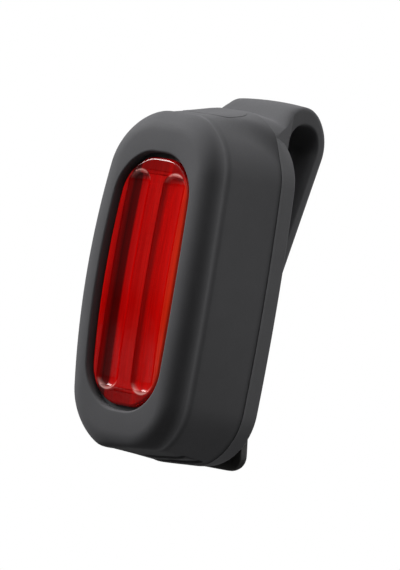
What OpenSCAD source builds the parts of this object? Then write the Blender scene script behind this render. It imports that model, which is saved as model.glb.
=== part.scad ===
// Clip-on rear bicycle light: a rubber sleeve with a spring clip around a sealed light module.
// X is the width, -Y the lit front and +Z up. The origin is the middle of the body's back face.

/* [Rubber body] */
// Width of the body at its parting line
body_w = 27.6; // [27.4:0.2:32]
// Height of the body at its parting line
body_h = 61.2; // [60.6:0.2:68]
// Depth from the back face to the crown of the front
body_d = 23.6; // [23.4:0.2:28]
// Corner radius of the outline at the parting line
corner_r = 10.8; // [10.4:0.1:12]
// Depth of the band behind the parting line
band_d = 4.8; // [4:0.1:5.6]
// How far that band tapers in towards the back
band_taper = 0.5; // [0.3:0.1:1.2]
// How far the sides draw in from the parting line to the front
side_draft = 0.6; // [0.3:0.1:0.9]
// Radius of the soft front edge
front_r = 3.4; // [3:0.1:4.2]
// Radius of the front's crown, seen from the side
crown_r = 260; // [210:5:400]
// Radius of the barrel of the long sides, seen from the front
barrel_r = 200; // [190:5:400]
// Share of that barrel that is left at the parting line
back_barrel = 0.45; // [0.3:0.05:1]
// Width of the shallow groove behind the front edge
groove_w = 2.4; // [1.6:0.1:3]
// Depth of that groove
groove_d = 0.18; // [0.1:0.02:0.3]
// Rise of the top into the clip's root, at the parting line
saddle_h = 1.8; // [1.4:0.1:2.4]
// Length of that rise in front of the parting line
saddle_l = 15.5; // [12:0.5:16.5]
// Half width of its level middle at the front
saddle_front_w = 4.6; // [3.6:0.1:5.4]
// Half width of its level middle at the parting line
saddle_back_w = 9.8; // [8.6:0.1:10.2]
// Width over which it runs out to each side
saddle_edge = 2.4; // [2:0.1:3.2]
// Rounding of the back edge
back_edge_r = 0.6; // [0.3:0.1:0.9]
// Rubber thickness beside the case
sleeve_wall = 2.6; // [2.4:0.1:3]
// Rubber thickness above and below the case
end_wall = 3.1; // [2.9:0.1:3.6]
// Rubber thickness behind the case
back_wall = 3.2; // [2.8:0.1:3.6]
// Rubber thickness in front of the case
front_skin = 2.7; // [2.5:0.1:3.2]
// Rounding of the window's lip
lip_r = 0.6; // [0.4:0.1:0.7]
// Gap between the lip and the lens
window_gap = 0.85; // [0.7:0.05:1]

/* [Clip] */
// Width of the clip's strap
strap_w = 15.6; // [13:0.2:17]
// Thickness of the strap
strap_t = 3.2; // [2.8:0.1:3.6]
// Swell of the strap's outer face across its width
strap_crown = 0.35; // [0.1:0.05:0.5]
// Rounding of the strap's edges
strap_edge_r = 0.7; // [0.5:0.1:1.2]
// Width of the softer rounding on the arm's inner edges
inner_edge_w = 2.6; // [1.4:0.1:3]
// Depth of that softer rounding
inner_edge_d = 1.4; // [0.8:0.1:1.5]
// Inner radius of the clip's loop
loop_r = 3.85; // [3.2:0.05:4.2]
// Height of the loop's centre above the middle of the body
loop_z = 27.9; // [27.4:0.1:28.6]
// How far the loop's inner face stands behind the back face
loop_gap = 2; // [1.4:0.1:2.4]
// Lean of the arm towards the body, in degrees
arm_lean = 14.9; // [13:0.1:17]
// Radius of the bend where the arm comes nearest the body
nip_r = 30; // [20:1:40]
// Gap between arm and body at that bend
nip_gap = 0.35; // [0.3:0.05:1]
// Flare of the arm's end away from the body, in degrees
lip_angle = 10; // [6:0.5:14]
// Length of the arm past the bend
lip_l = 13.4; // [12.4:0.1:15]
// Length of the black toe on the arm's end
toe_l = 11; // [9:0.1:12]
// Corner radius of the toe
toe_corner_r = 3; // [2:0.1:4]
// Width of the spring strip inside the rubber
spring_w = 9; // [6:0.5:11]
// Thickness of the spring strip
spring_t = 0.5; // [0.3:0.1:0.7]
// How deep the spring strip is rooted below the loop's centre
spring_root = 4; // [3:0.5:4.5]
// Extra half width of the shoulder at the strap's root
root_flare = 2.6; // [1.8:0.1:2.8]

/* [Lens] */
// Width of the lens
lens_w = 15.4; // [14.6:0.2:16]
// Height of the lens
lens_h = 43.4; // [40:0.2:44]
// Corner radius of the lens
lens_r = 6.5; // [5.8:0.1:7]
// How deep the lens lies behind the crown of the front
lens_recess = 0.6; // [0.4:0.1:1]
// Barrel radius of the lens's long sides
lens_barrel_r = 265; // [240:5:400]
// Width of the lens's flange
flange_w = 1.7; // [1.4:0.1:1.9]
// Thickness of the lens's flange
flange_t = 1.2; // [1:0.1:1.4]
// Radius of each flute in the lens
flute_r = 2.35; // [1.9:0.05:2.4]
// How far each flute's centre lies in front of the lens's face
flute_lift = 0.4; // [0.2:0.1:0.8]
// Width of the rib between the flutes
rib_w = 3.2; // [2.6:0.1:3.6]
// Width of the rim beyond the flutes' ends
end_rim = 2.4; // [2:0.1:3]

/* [Module] */
// Wall of the module's case
case_wall = 1.4; // [1.2:0.1:1.5]
// Margin of the case's nose around the lens
nose_margin = 2.6; // [2.5:0.1:2.8]
// Depth of the nose
nose_d = 2.3; // [2.2:0.1:2.6]
// Thickness of the rear cover
cover_t = 1.4; // [1.3:0.1:1.6]
// Thickness of the cover's gasket
case_gasket_t = 0.4; // [0.3:0.05:0.5]
// Thickness of the lens's gasket
lens_gasket_t = 0.6; // [0.4:0.05:0.7]
// Width of the lens's gasket
lens_gasket_w = 1.6; // [1.2:0.1:2]
// Thickness of the reflector's plate
reflector_t = 2.2; // [2:0.1:2.6]
// Width of the light board
cob_board_w = 13; // [11:0.5:15]
// Height of the light board
cob_board_h = 44; // [42:0.5:45]
// Thickness of the light board
cob_board_t = 1.2; // [1:0.1:1.4]
// Width of the light strip
cob_w = 3.4; // [2.6:0.1:4]
// Height of the light strip
cob_h = 35; // [30:0.5:36]
// Thickness of the light strip
cob_t = 0.7; // [0.5:0.1:0.9]
// Thickness of the main board
board_t = 1; // [0.8:0.1:1.2]
// Height of the standoffs behind the main board
standoff_h = 1.7; // [1.5:0.1:2]
// Width of the battery
battery_w = 17; // [15:0.5:18]
// Height of the battery
battery_h = 30.5; // [28:0.5:31]
// Thickness of the battery
battery_t = 4.8; // [4:0.1:5]
// Thickness of the battery's foam pad
pad_t = 0.8; // [0.6:0.1:1]

/* [Port and button] */
// Width of the charging socket's shell
usb_w = 8.94; // [8.9:0.01:9]
// Thickness of the charging socket's shell
usb_t = 3.26; // [3.2:0.01:3.3]
// Length of the charging socket
usb_l = 7.35; // [6.8:0.05:7.4]
// Width of the flap over the port
flap_w = 4.9; // [4.6:0.1:5.4]
// Distance from the port's middle to the flap's hinge
flap_hinge_x = 5.8; // [5.6:0.1:6.4]
// Distance from the port's middle to the flap's free end
flap_end_x = 7; // [6.6:0.1:7.4]
// Thickness of the flap
flap_t = 2.4; // [2.2:0.1:2.5]
// Gap around the flap
flap_gap = 0.4; // [0.3:0.05:0.5]
// Height of the flat under the flap above the lowest point of the body
flat_lift = 0.7; // [0.4:0.1:0.9]
// Slope of the flat towards the flap's free end
flat_side = 0.1; // [0.05:0.01:0.12]
// Slope of the flat towards the front
flat_front = 0.11; // [0.06:0.01:0.12]
// Width of the power button's pad
button_w = 10; // [9:0.2:11]
// Depth of the power button's pad
button_d = 8.4; // [7.6:0.1:8.8]
// How far the pad stands proud of the rubber
button_proud = 0.15; // [0:0.05:0.4]
// Travel of the button
button_travel = 0.5; // [0.3:0.05:0.6]
// Radius of the plunger under the pad
stem_r = 1.6; // [1.4:0.1:1.8]
// Height of the switch's body
switch_h = 3.5; // [3:0.1:3.6]

/* [Hidden] */

$fn = 48;

// Clearances
fit = 0.05;
slip = 0.1;
button_gap = 0.3;
root_clear = 0.4;
cut = 1;

// Facet counts of the lofted rubber
arc_n = 10;
side_n = 7;
end_n = 3;
edge_n = 4;
crown_n = 6;
root_n = 16;

// Body planes
half_w = body_w / 2;
half_h = body_h / 2;
y_front = -body_d;
y_part = -band_d;
y_groove = y_front + front_r;
y_side = y_groove + groove_w;

// Case planes
case_hw = half_w - sleeve_wall;
case_hh = half_h - end_wall;
case_r = corner_r - sleeve_wall;
nose_y = y_front + front_skin;
shoulder_y = nose_y + nose_d;
cover_y = -back_wall;
cover_front_y = cover_y - cover_t;
rim_y = cover_front_y - case_gasket_t;
room_hw = case_hw - case_wall;
room_hh = case_hh - case_wall;
room_r = case_r - case_wall;
room_y = shoulder_y + case_wall;

// Light engine planes
lens_y = y_front + lens_recess;
flange_y = nose_y + case_wall;
flange_back_y = flange_y + flange_t;
gasket_back_y = flange_back_y + lens_gasket_t;
reflector_back_y = room_y + reflector_t;
cob_back_y = reflector_back_y + cob_board_t;
flute_x = rib_w / 2 + flute_r;
flute_hh = lens_h / 2 - end_rim - flute_r;
slot_back = 1.2;
slot_front = 4.4;

// Small fasteners
screw_r = 0.75;
head_r = 1.45;
head_h = 0.8;
screw_land = 1.8;
screw_gap = 1.15;

// Leads: radius, reach past the battery's end, and place in the room between two screw heads
lead_r = 0.4;
lead_reach = 2.1;
lead_share = 8 / 15;

// Board planes
usb_mouth_z = -case_hh + 0.2;
board_back_y = cover_front_y - standoff_h;
board_y = board_back_y - board_t;
board_hw = room_hw - 0.8;
board_hh = room_hh - 0.9;
neck_hw = room_hw - 4.2;
neck_z = battery_h / 2 + 1;
battery_back_y = board_y - pad_t;
screw_x = (neck_hw + screw_land) / 2;
screw_z = -usb_mouth_z - usb_l - head_r - screw_gap;
lead_x = lead_share * (screw_x - head_r);
lead_z = battery_h / 2 + lead_reach;
boss_r = 1.9;
boss_x = room_hw - boss_r + 0.2;
boss_z = room_hh - 5.4;
boss_l = 6.5;

// Port
port_y = board_y - usb_t / 2;
usb_shell = 0.3;
usb_corner = 1.2;
port_hole_w = usb_w + 1.4;
port_hole_t = usb_t + 0.6;
flap_floor_z = flap_t - half_h;
plug_w = 7;
plug_t = 1.9;
plug_in = 0.8;

// Button
button_y = board_y - switch_h / 2;
switch_w = 6;
switch_top_z = room_hh - 2.9;
switch_stem_r = 0.9;
switch_stem_l = 1.1;
stem_foot_z = switch_top_z + switch_stem_l;
stem_head_r = 2.4;
stem_head_h = 0.5;
stem_head_z = case_hh + button_travel + 0.2;
seal_r = 0.45;
button_r = 3;
pad_y = button_y - 0.9;
pad_top_z = half_h + saddle_h + button_proud + cut;

// Clip geometry: the strap's middle line runs up the back, over the loop and down the arm
loop_y = loop_gap + loop_r;
mid_r = loop_r + strap_t / 2;
loop_out_r = loop_r + strap_t;
strap_hw = strap_w / 2;
arm_top = [loop_y + mid_r * cos(arm_lean), loop_z - mid_r * sin(arm_lean)];
arm_l = (arm_top[0] - nip_r * (1 - cos(arm_lean)) - strap_t / 2 - nip_gap) / sin(arm_lean);
nip_start = arm_top - arm_l * [sin(arm_lean), cos(arm_lean)];
nip_mid = nip_start + nip_r * [cos(arm_lean), -sin(arm_lean)];
lip_start = nip_mid + nip_r * [-cos(lip_angle), -sin(lip_angle)];
lip_dir = [sin(lip_angle), -cos(lip_angle)];
lip_normal = [cos(lip_angle), sin(lip_angle)];
toe_start = lip_l - toe_l;
spring_end = toe_start + 4;
root_foot_z = loop_z - 9;
root_drop = 1.3;
root_edge = 0.7;

// Rounded rectangle of half sizes w and h, standing in the XZ plane from y0 back to y1
module slab(y0, y1, w, h, r) {
    translate([0, y1, 0])
        rotate([90, 0, 0])
            linear_extrude(y1 - y0)
                plate(w, h, r);
}

// Rounded rectangle of half sizes w and h with corner radius r
module plate(w, h, r) {
    square([2 * w, 2 * (h - r)], center = true);
    square([2 * (w - r), 2 * h], center = true);
    for (sx = [-1, 1], sy = [-1, 1])
        translate([sx * (w - r), sy * (h - r)])
            circle(r);
}

// Solid between two y planes that has a child's outline in the XZ plane
module across(y0, y1) {
    translate([0, y1, 0])
        rotate([90, 0, 0])
            linear_extrude(y1 - y0)
                children();
}

// Round bar along Y, from y0 back to y1
module bar(y0, y1, r) {
    translate([0, y0, 0])
        rotate([-90, 0, 0])
            cylinder(r = r, h = y1 - y0);
}

// Pan-head screw along Y, whose head starts at y0 and whose point lies at y1
module screw(y0, y1) {
    dir = sign(y1 - y0);
    bar(min(y0, y0 + dir * head_h), max(y0, y0 + dir * head_h), head_r);
    bar(min(y0 + dir * head_h, y1), max(y0 + dir * head_h, y1), screw_r);
}

// Points around a quarter circle that starts at angle a
function arc(x, z, r, a) = [
    for (k = [0 : arc_n])
        let (t = a + 90 * k / arc_n)
        [x + r * cos(t), z + r * sin(t)]
];

// Rounded outline of half sizes w and h, counter-clockwise seen from the front
function outline(w, h, r) = concat(
    arc(w - r, r - h, r, -90),
    [for (k = [1 : side_n]) [w, (h - r) * (2 * k / (side_n + 1) - 1)]],
    arc(w - r, h - r, r, 0),
    [for (k = [1 : end_n]) [(w - r) * (1 - 2 * k / (end_n + 1)), h]],
    arc(r - w, h - r, r, 90),
    [for (k = [1 : side_n]) [-w, (h - r) * (1 - 2 * k / (side_n + 1))]],
    arc(r - w, r - h, r, 180),
    [for (k = [1 : end_n]) [(w - r) * (2 * k / (end_n + 1) - 1), -h]]
);

// Eased step from 0 to 1
function ease(t) = let (u = max(0, min(1, t))) u * u * (3 - 2 * u);

// Rise of the top towards the clip at a point of the outside
function saddle(x, y, z) =
    let (
        along = max(0, y <= y_part ? 1 - (y_part - y) / saddle_l : 1 - (y - y_part) / (0.7 * band_d)),
        level = saddle_front_w + (saddle_back_w - saddle_front_w) * min(1, pow(along, 3))
    )
    z <= 0 ? 0 : saddle_h * pow(along, 1.2) * (1 - ease((abs(x) - level) / saddle_edge));

// The larger of two values, with a rounded change of width k between them
function soft_max(a, b, k) = let (h = max(k - abs(a - b), 0) / k) max(a, b) + h * h * k / 4;

// Height of the underside at a point of the outside, with the flat that makes room for a fingernail at the flap
function under(x, y, z) =
    let (run = port_y - 0.6 * flap_w - y)
    z > 0 ? z
        : soft_max(z, flat_lift - half_h + flat_side * (x + 2.5) + flat_front * run - 0.0048 * run * run, 0.4);

// An outline placed at depth y, with its share of the barrel, of the front's crown, of the saddle and of the flat
function ring(points, y, barrel = 1, crown = 0, rise = 0) = [
    for (p = points)
        let (
            x = p[0] * (1 - barrel * p[1] * p[1] / (barrel_r * body_w)),
            depth = y + crown * p[1] * p[1] / (2 * crown_r)
        )
        [x, depth, rise == 0 ? p[1] : under(x, depth, p[1]) + rise * saddle(x, depth, p[1])]
];

// Body outline drawn in by d
function body_ring(d, y, crown = 0) =
    let (front = max(0, min(1, (y_part - y) / (y_part - y_groove))))
    ring(
        outline(half_w - d, half_h - d, corner_r - d),
        y, back_barrel + (1 - back_barrel) * front, crown, 1
    );

// Lens window outline grown by d
function window_ring(d, y, crown = 1) =
    ring(
        outline(lens_w / 2 + window_gap + d, lens_h / 2 + window_gap + d, lens_r + window_gap + d),
        y, body_w * barrel_r / (lens_w * lens_barrel_r), crown
    );

// Rounded rectangle across the strap, clockwise looking along it, with a crowned far side
// and near edges that round over the width w and the depth d
function strap_outline(hw, near, far, r, crown, w, d) = concat(
    [for (k = [0 : edge_n]) let (a = 180 - 90 * k / edge_n) [r - hw + r * cos(a), far - r + r * sin(a)]],
    [
        for (k = [1 : crown_n - 1])
            let (x = (hw - r) * (2 * k / crown_n - 1))
            [x, far + crown * (1 - pow(x / (hw - r), 2))]
    ],
    [for (k = [0 : edge_n]) let (a = 90 - 90 * k / edge_n) [hw - r + r * cos(a), far - r + r * sin(a)]],
    [for (k = [0 : edge_n]) let (a = -90 * k / edge_n) [hw - w + w * cos(a), near + d + d * sin(a)]],
    [for (k = [0 : edge_n]) let (a = -90 - 90 * k / edge_n) [w - hw + w * cos(a), near + d + d * sin(a)]]
);

// A cross-section set at a point of the strap's middle line, where a is the angle of its normal
function strap_ring(section, at, a) = [
    for (p = section) [p[0], at[0] + p[1] * cos(a), at[1] + p[1] * sin(a)]
];

function centre(points) = [for (k = [0 : 2]) [for (p = points) p[k]] * [for (p = points) 1] / len(points)];

// Closed loft through rings that run clockwise looking from the first ring to the last
module skin(rings) {
    n = len(rings[0]);
    m = len(rings);
    points = concat([for (r = rings) each r], [centre(rings[0]), centre(rings[m - 1])]);
    sides = [
        for (i = [0 : m - 2], j = [0 : n - 1])
            let (a = i * n + j, b = i * n + (j + 1) % n, c = b + n, d = a + n)
            each [[a, d, c], [a, c, b]]
    ];
    first = [for (j = [0 : n - 1]) [m * n, j, (j + 1) % n]];
    last = [for (j = [0 : n - 1]) [m * n + 1, (m - 1) * n + (j + 1) % n, (m - 1) * n + j]];
    polyhedron(points = points, faces = concat(first, sides, last));
}

// Stations of the strap's middle line, each a point in the YZ plane and the angle of its normal
loop_front = [
    for (k = [0 : 6])
        let (a = 180 - 15 * k)
        [[loop_y + mid_r * cos(a), loop_z + mid_r * sin(a)], a]
];
arm_path = concat(
    [
        for (k = [0 : 7])
            let (a = 90 - (90 + arm_lean) * k / 7)
            [[loop_y + mid_r * cos(a), loop_z + mid_r * sin(a)], a]
    ],
    [
        for (k = [0 : 6])
            let (a = -arm_lean + (arm_lean + lip_angle) * k / 6)
            [nip_mid - nip_r * [cos(a), sin(a)], a]
    ]
);
spring_path = concat(
    [[[loop_y - mid_r, loop_z - spring_root], 180]],
    loop_front,
    [for (k = [1 : len(arm_path) - 1]) arm_path[k]],
    [[lip_start + spring_end * lip_dir, lip_angle]]
);

// Strap cross-section of half width hw, thinned by d at each face, with a share of the softer inner edges
function strap_section(hw = strap_hw, d = 0, soft = 1) =
    let (
        t = strap_t - 2 * d,
        r = min(strap_edge_r, hw, 0.45 * t)
    )
    strap_outline(
        hw, -t / 2, t / 2, r, strap_crown,
        r + soft * (min(inner_edge_w, 0.45 * hw) - r),
        r + soft * (min(inner_edge_d, 0.5 * t) - r)
    );

// The spring strip, or its pocket when it is grown by g
module strip(g = 0) {
    w = spring_w / 2 + g;
    t = spring_t / 2 + g;
    section = [[-w, t], [w, t], [w, -t], [-w, -t]];
    last = len(spring_path) - 1;
    path = concat(
        [[spring_path[0][0] - [0, g], spring_path[0][1]]],
        [for (k = [1 : last - 1]) spring_path[k]],
        [[spring_path[last][0] + g * lip_dir, lip_angle]]
    );
    skin([for (s = path) strap_ring(section, s[0], s[1])]);
}

// Height of the loop's circle of radius r at depth y, and of its middle in front of it
function loop_top(y, r) = loop_z + sqrt(max(0, r * r - pow(y - loop_y, 2)));

// Height of the body's top at the parting line, found in n steps
function top_z(x, z = half_h, n = 5) =
    let (
        out = abs(x) / (1 - back_barrel * z * z / (barrel_r * body_w)) - (half_w - corner_r),
        next = out <= 0 ? half_h : half_h - corner_r + sqrt(max(0, corner_r * corner_r - out * out))
    )
    n == 0 ? z : top_z(x, next, n - 1);

// Cross-section of the clip's root at depth y: from the saddle of the body up to the crown of the loop
function root_ring(y) =
    let (
        fade = min(1, (y - y_part) / 7),
        hw = strap_hw + root_flare * (1 - fade),
        ridge = soft_max(
            half_h + saddle_h - 0.35 * (y - y_part),
            loop_top(y, loop_out_r) + strap_crown, 0.9
        ),
        edge = soft_max(
            half_h - root_drop + 0.36 * (y - y_part),
            loop_top(y, loop_out_r - strap_edge_r), 0.6
        ),
        low = y < loop_gap
            ? root_foot_z + (loop_z - root_foot_z) * (1 - pow(1 - max(0, y) / loop_gap, 0.5))
            : loop_top(y, loop_r),
        power = 2.6 + 7 * ease((y - y_part) / 9),
        share = ease((y - y_part) / 5.6)
    )
    concat(
        [
            for (k = [0 : root_n])
                let (
                    t = sin(90 * (2 * k / root_n - 1)),
                    body = top_z(hw * t) + saddle(hw * t, y_part, 1) - slip / 2,
                    strap = ridge - (ridge - edge) * pow(abs(t), power)
                )
                [hw * t, y, body + share * (strap - body)]
        ],
        [[hw, y, min(edge, low + root_edge)]],
        [[hw - root_edge, y, low]],
        [[root_edge - hw, y, low]],
        [[-hw, y, min(edge, low + root_edge)]]
    );

module strap_root() {
    skin([
        for (y = concat(
            [for (k = [0 : 6]) y_part + 0.05 + (0 - y_part) * k / 6.2],
            [for (k = [1 : 7]) loop_gap * sin(90 * k / 7)],
            [for (k = [1 : 8]) loop_y - loop_r * cos(90 * k / 8)]
        ))
            root_ring(y)
    ]);
}

// Inner outlines of the rubber: the case and its nose with the fit around them
function case_ring(y) = ring(outline(case_hw + fit, case_hh + fit, case_r + fit), y, 0);
function nose_ring(y) =
    ring(outline(lens_w / 2 + nose_margin + fit, lens_h / 2 + nose_margin + fit, lens_r + nose_margin + fit), y, 0);

// Jacket around the module, lofted from the back over the outside and in through the window
module jacket() {
    land = 0.15;
    front_in = half_w - side_draft - lens_w / 2 - window_gap - lip_r - land;
    skin(concat(
        [
            for (k = [0 : 3])
                let (a = 30 * k)
                body_ring(band_taper + back_edge_r * (1 - sin(a)), back_edge_r * (cos(a) - 1))
        ],
        [body_ring(0, y_part)],
        [body_ring(0.05, y_part - 0.2)],
        [
            for (k = [1 : 6])
                body_ring(side_draft * k / 6, y_part + (y_side - y_part) * k / 6, k / 6)
        ],
        [body_ring(side_draft + groove_d, y_side - 0.5, 1)],
        [body_ring(side_draft + groove_d, y_groove + 0.5, 1)],
        [
            for (k = [0 : 6])
                let (a = 15 * k)
                body_ring(side_draft + front_in * (1 - cos(a)), y_groove - front_r * sin(a), 1)
        ],
        [
            for (k = [0 : 3])
                let (a = 30 * k)
                window_ring(lip_r * (1 - sin(a)), y_front + lip_r * (1 - cos(a)))
        ],
        [window_ring(0, nose_y, 0)],
        [nose_ring(nose_y), nose_ring(shoulder_y), case_ring(shoulder_y), case_ring(cover_y)]
    ));
}

// Solid inside the sides of the body, from the parting line to the groove, grown by g
module jacket_block(g) {
    skin([
        for (k = [0 : 6])
            body_ring(side_draft * k / 6 - g, y_part + (y_side - y_part) * k / 6, k / 6)
    ]);
}

// Rounded pad of the button, grown by g, between two heights
module button_prism(z0, z1, g = 0) {
    translate([0, pad_y, z0])
        linear_extrude(z1 - z0)
            plate(button_w / 2 + g, button_d / 2 + g, button_r + g);
}

module rubber_sleeve() {
    color("#45454A")
    difference() {
        union() {
            jacket();
            difference() {
                strap_root();
                slab(y_front, cover_y + root_clear, case_hw + root_clear, case_hh + root_clear, case_r + root_clear);
            }
        }
        strip(fit);
        button_prism(case_hh - cut, pad_top_z, button_gap);
        translate([-flap_hinge_x, port_y - flap_w / 2 - flap_gap, -half_h - cut])
            cube([flap_hinge_x + flap_end_x + flap_gap, flap_w + 2 * flap_gap, flap_t + slip + cut]);
        translate([0, port_y, -half_h])
            linear_extrude(end_wall + cut)
                plate(port_hole_w / 2, port_hole_t / 2, usb_corner);
    }
}

// Share of the softer inner edges at a station of the arm: none at the crown of the loop
function arm_soft(s) = s[0][1] < loop_z ? 1 : ease((90 - s[1]) / 60);

module clip_arm() {
    color("#4A4A4F")
    difference() {
        skin(concat(
            [for (s = arm_path) strap_ring(strap_section(soft = arm_soft(s)), s[0], s[1])],
            [strap_ring(strap_section(), lip_start + toe_start * lip_dir, lip_angle)]
        ));
        strip(fit);
    }
}

// Half width and thinning of the toe at distance s from its end
function toe_hw(s) = s >= toe_corner_r ? strap_hw
    : strap_hw - toe_corner_r + sqrt(toe_corner_r * toe_corner_r - pow(toe_corner_r - s, 2));
function toe_thin(s) = let (r = strap_t / 2) s >= r ? 0 : 0.9 * (r - sqrt(r * r - pow(r - s, 2)));

module clip_toe() {
    color("#17170F")
    difference() {
        skin([
            for (s = [toe_l, toe_corner_r, 2.1, 1.4, 0.9, 0.5, 0.25, 0.08])
                strap_ring(
                    strap_section(toe_hw(s), toe_thin(s)),
                    lip_start + (lip_l - s) * lip_dir,
                    lip_angle
                )
        ]);
        strip(fit);
    }
}

module clip_spring() {
    color("#B9BCC0")
        strip();
}

// Lens between two depths, with the barrel of its long sides
module lens_block(y0, y1) {
    across(y0, y1)
        polygon([
            for (p = outline(lens_w / 2, lens_h / 2, lens_r))
                [p[0] * (1 - p[1] * p[1] / (lens_barrel_r * lens_w)), p[1]]
        ]);
}

// Half-round flute with round ends that follows the crown of the lens
module flute() {
    reach = crown_r + flute_lift;
    turn = asin(flute_hh / reach);
    tip = asin(flute_r / reach);
    stations = concat(
        [for (k = [4 : -1 : 1]) [-turn - tip * sin(22 * k), flute_r * cos(22 * k)]],
        [for (k = [0 : 10]) [turn * (k / 5 - 1), flute_r]],
        [for (k = [1 : 4]) [turn + tip * sin(22 * k), flute_r * cos(22 * k)]]
    );
    translate([0, lens_y + crown_r, 0])
        skin([
            for (s = stations)
                [
                    for (k = [0 : 23])
                        let (a = -15 * k, d = reach + s[1] * sin(a))
                        [s[1] * cos(a), -d * cos(s[0]), d * sin(s[0])]
                ]
        ]);
}

module lens() {
    color("#B01010")
    difference() {
        union() {
            intersection() {
                lens_block(lens_y - cut, flange_y);
                translate([-lens_w, lens_y + crown_r, 0])
                    rotate([0, 90, 0])
                        cylinder(r = crown_r, h = 2 * lens_w, $fn = 240);
            }
            slab(flange_y, flange_back_y, lens_w / 2 + flange_w, lens_h / 2 + flange_w, lens_r + flange_w);
        }
        for (s = [-1, 1])
            translate([s * flute_x, 0, 0])
                flute();
    }
}

module lens_gasket() {
    color("#202022")
    difference() {
        slab(flange_back_y, gasket_back_y, lens_w / 2 + flange_w, lens_h / 2 + flange_w, lens_r + flange_w);
        slab(
            flange_back_y - cut, gasket_back_y + cut,
            lens_w / 2 + flange_w - lens_gasket_w,
            lens_h / 2 + flange_w - lens_gasket_w,
            lens_r + flange_w - lens_gasket_w
        );
    }
}

// Places a child at the four corners (x, z)
module corners(x, z) {
    for (sx = [-1, 1], sz = [-1, 1])
        translate([sx * x, 0, sz * z])
            children();
}

module case_front() {
    color("#1C1C1E")
    difference() {
        union() {
            difference() {
                union() {
                    slab(shoulder_y, rim_y, case_hw, case_hh, case_r);
                    slab(
                        nose_y, shoulder_y,
                        lens_w / 2 + nose_margin, lens_h / 2 + nose_margin, lens_r + nose_margin
                    );
                }
                slab(room_y, rim_y + cut, room_hw, room_hh, room_r);
                slab(
                    flange_y, room_y + cut,
                    lens_w / 2 + flange_w + fit, lens_h / 2 + flange_w + fit, lens_r + flange_w + fit
                );
            }
            corners(boss_x, boss_z)
                bar(rim_y - boss_l, rim_y, boss_r);
        }
        slab(nose_y - cut, flange_y + cut, lens_w / 2 + slip, lens_h / 2 + slip, lens_r + slip);
        corners(boss_x, boss_z)
            bar(rim_y - boss_l + 1, rim_y + cut, screw_r + 0.03);
        translate([0, port_y, -case_hh - cut])
            linear_extrude(case_wall + 2 * cut)
                plate(usb_w / 2 + slip, usb_t / 2 + slip, usb_corner + slip);
        translate([0, button_y, room_hh - cut])
            cylinder(r = stem_r + slip, h = case_wall + 2 * cut);
        translate([0, button_y, case_hh - 2 * seal_r])
            cylinder(r = stem_r + 2 * seal_r + slip, h = 2 * seal_r + cut);
    }
}

module case_gasket() {
    color("#2A2A2C")
    difference() {
        union() {
            difference() {
                slab(rim_y, cover_front_y, case_hw, case_hh, case_r);
                slab(rim_y - cut, cover_front_y + cut, room_hw, room_hh, room_r);
            }
            corners(boss_x, boss_z)
                bar(rim_y, cover_front_y, boss_r);
        }
        corners(boss_x, boss_z)
            bar(rim_y - cut, cover_front_y + cut, screw_r + slip);
    }
}

module case_back() {
    color("#1C1C1E")
    difference() {
        union() {
            slab(cover_front_y, cover_y, case_hw, case_hh, case_r);
            corners(screw_x, screw_z)
                bar(board_back_y, cover_front_y, head_r);
        }
        corners(boss_x, boss_z) {
            bar(cover_front_y - cut, cover_y + cut, screw_r + slip);
            bar(cover_y - head_h, cover_y + cut, head_r + slip);
        }
        corners(screw_x, screw_z)
            bar(board_back_y - cut, cover_front_y + cover_t / 2, screw_r + 0.03);
    }
}

module case_screws() {
    color("#8C8F93")
        corners(boss_x, boss_z)
            screw(cover_y, rim_y - boss_l + 1.8);
}

module reflector() {
    color("#EDEDE8")
    difference() {
        union() {
            slab(room_y, reflector_back_y, room_hw - fit, room_hh - fit, room_r - fit);
            slab(gasket_back_y, room_y, lens_w / 2 + flange_w, lens_h / 2 + flange_w, lens_r + flange_w);
        }
        skin([
            ring(outline(cob_w / 2 + slot_back, cob_h / 2 + slot_back, slot_back), reflector_back_y + 0.01, 0),
            ring(outline(cob_w / 2 + slot_front, cob_h / 2 + slot_front, slot_front), gasket_back_y - 0.01, 0)
        ]);
        cob_holes(reflector_back_y - 1.5, reflector_back_y + cut);
    }
}

// Two holes for the light board's screws
module cob_holes(y0, y1) {
    for (s = [-1, 1])
        translate([s * (cob_board_w / 2 - 1.5), 0, s * (cob_board_h / 2 - 2)])
            bar(y0, y1, screw_r + 0.03);
}

module cob_board() {
    color("#E4E6E4")
    difference() {
        slab(reflector_back_y, cob_back_y, cob_board_w / 2, cob_board_h / 2, 3);
        cob_holes(reflector_back_y - cut, cob_back_y + cut);
    }
}

module cob_strip() {
    color("#E8C832")
        slab(reflector_back_y - cob_t, reflector_back_y, cob_w / 2, cob_h / 2, 0.8);
}

module cob_screws() {
    color("#8C8F93")
    for (s = [-1, 1])
        translate([s * (cob_board_w / 2 - 1.5), 0, s * (cob_board_h / 2 - 2)])
            screw(cob_back_y + head_h, reflector_back_y - 1.2);
}

module main_board() {
    color("#1F6B3A")
    difference() {
        across(board_y, board_back_y)
            union() {
                plate(board_hw, neck_z, 1);
                plate(neck_hw, board_hh, 2);
            }
        corners(screw_x, screw_z)
            bar(board_y - cut, board_back_y + cut, screw_r + slip);
    }
}

module board_screws() {
    color("#8C8F93")
        corners(screw_x, screw_z)
            screw(board_y - head_h, cover_front_y + cover_t / 2 - 0.2);
}

// Chip of width w and height h on the board's back
module chip(z, w, h) {
    translate([-w / 2, board_back_y, z - h / 2])
        cube([w, 1, h]);
}

module controller_chip() {
    color("#26262A")
        chip(5, 5, 5);
}

module charger_chip() {
    color("#2B2B30")
        chip(-9, 3, 3);
}

module charge_led() {
    color("#D8E8D0")
        translate([switch_w / 2 + 0.5, board_y - 0.8, switch_top_z - 1.6])
            cube([0.8, 0.8, 1.6]);
}

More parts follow.
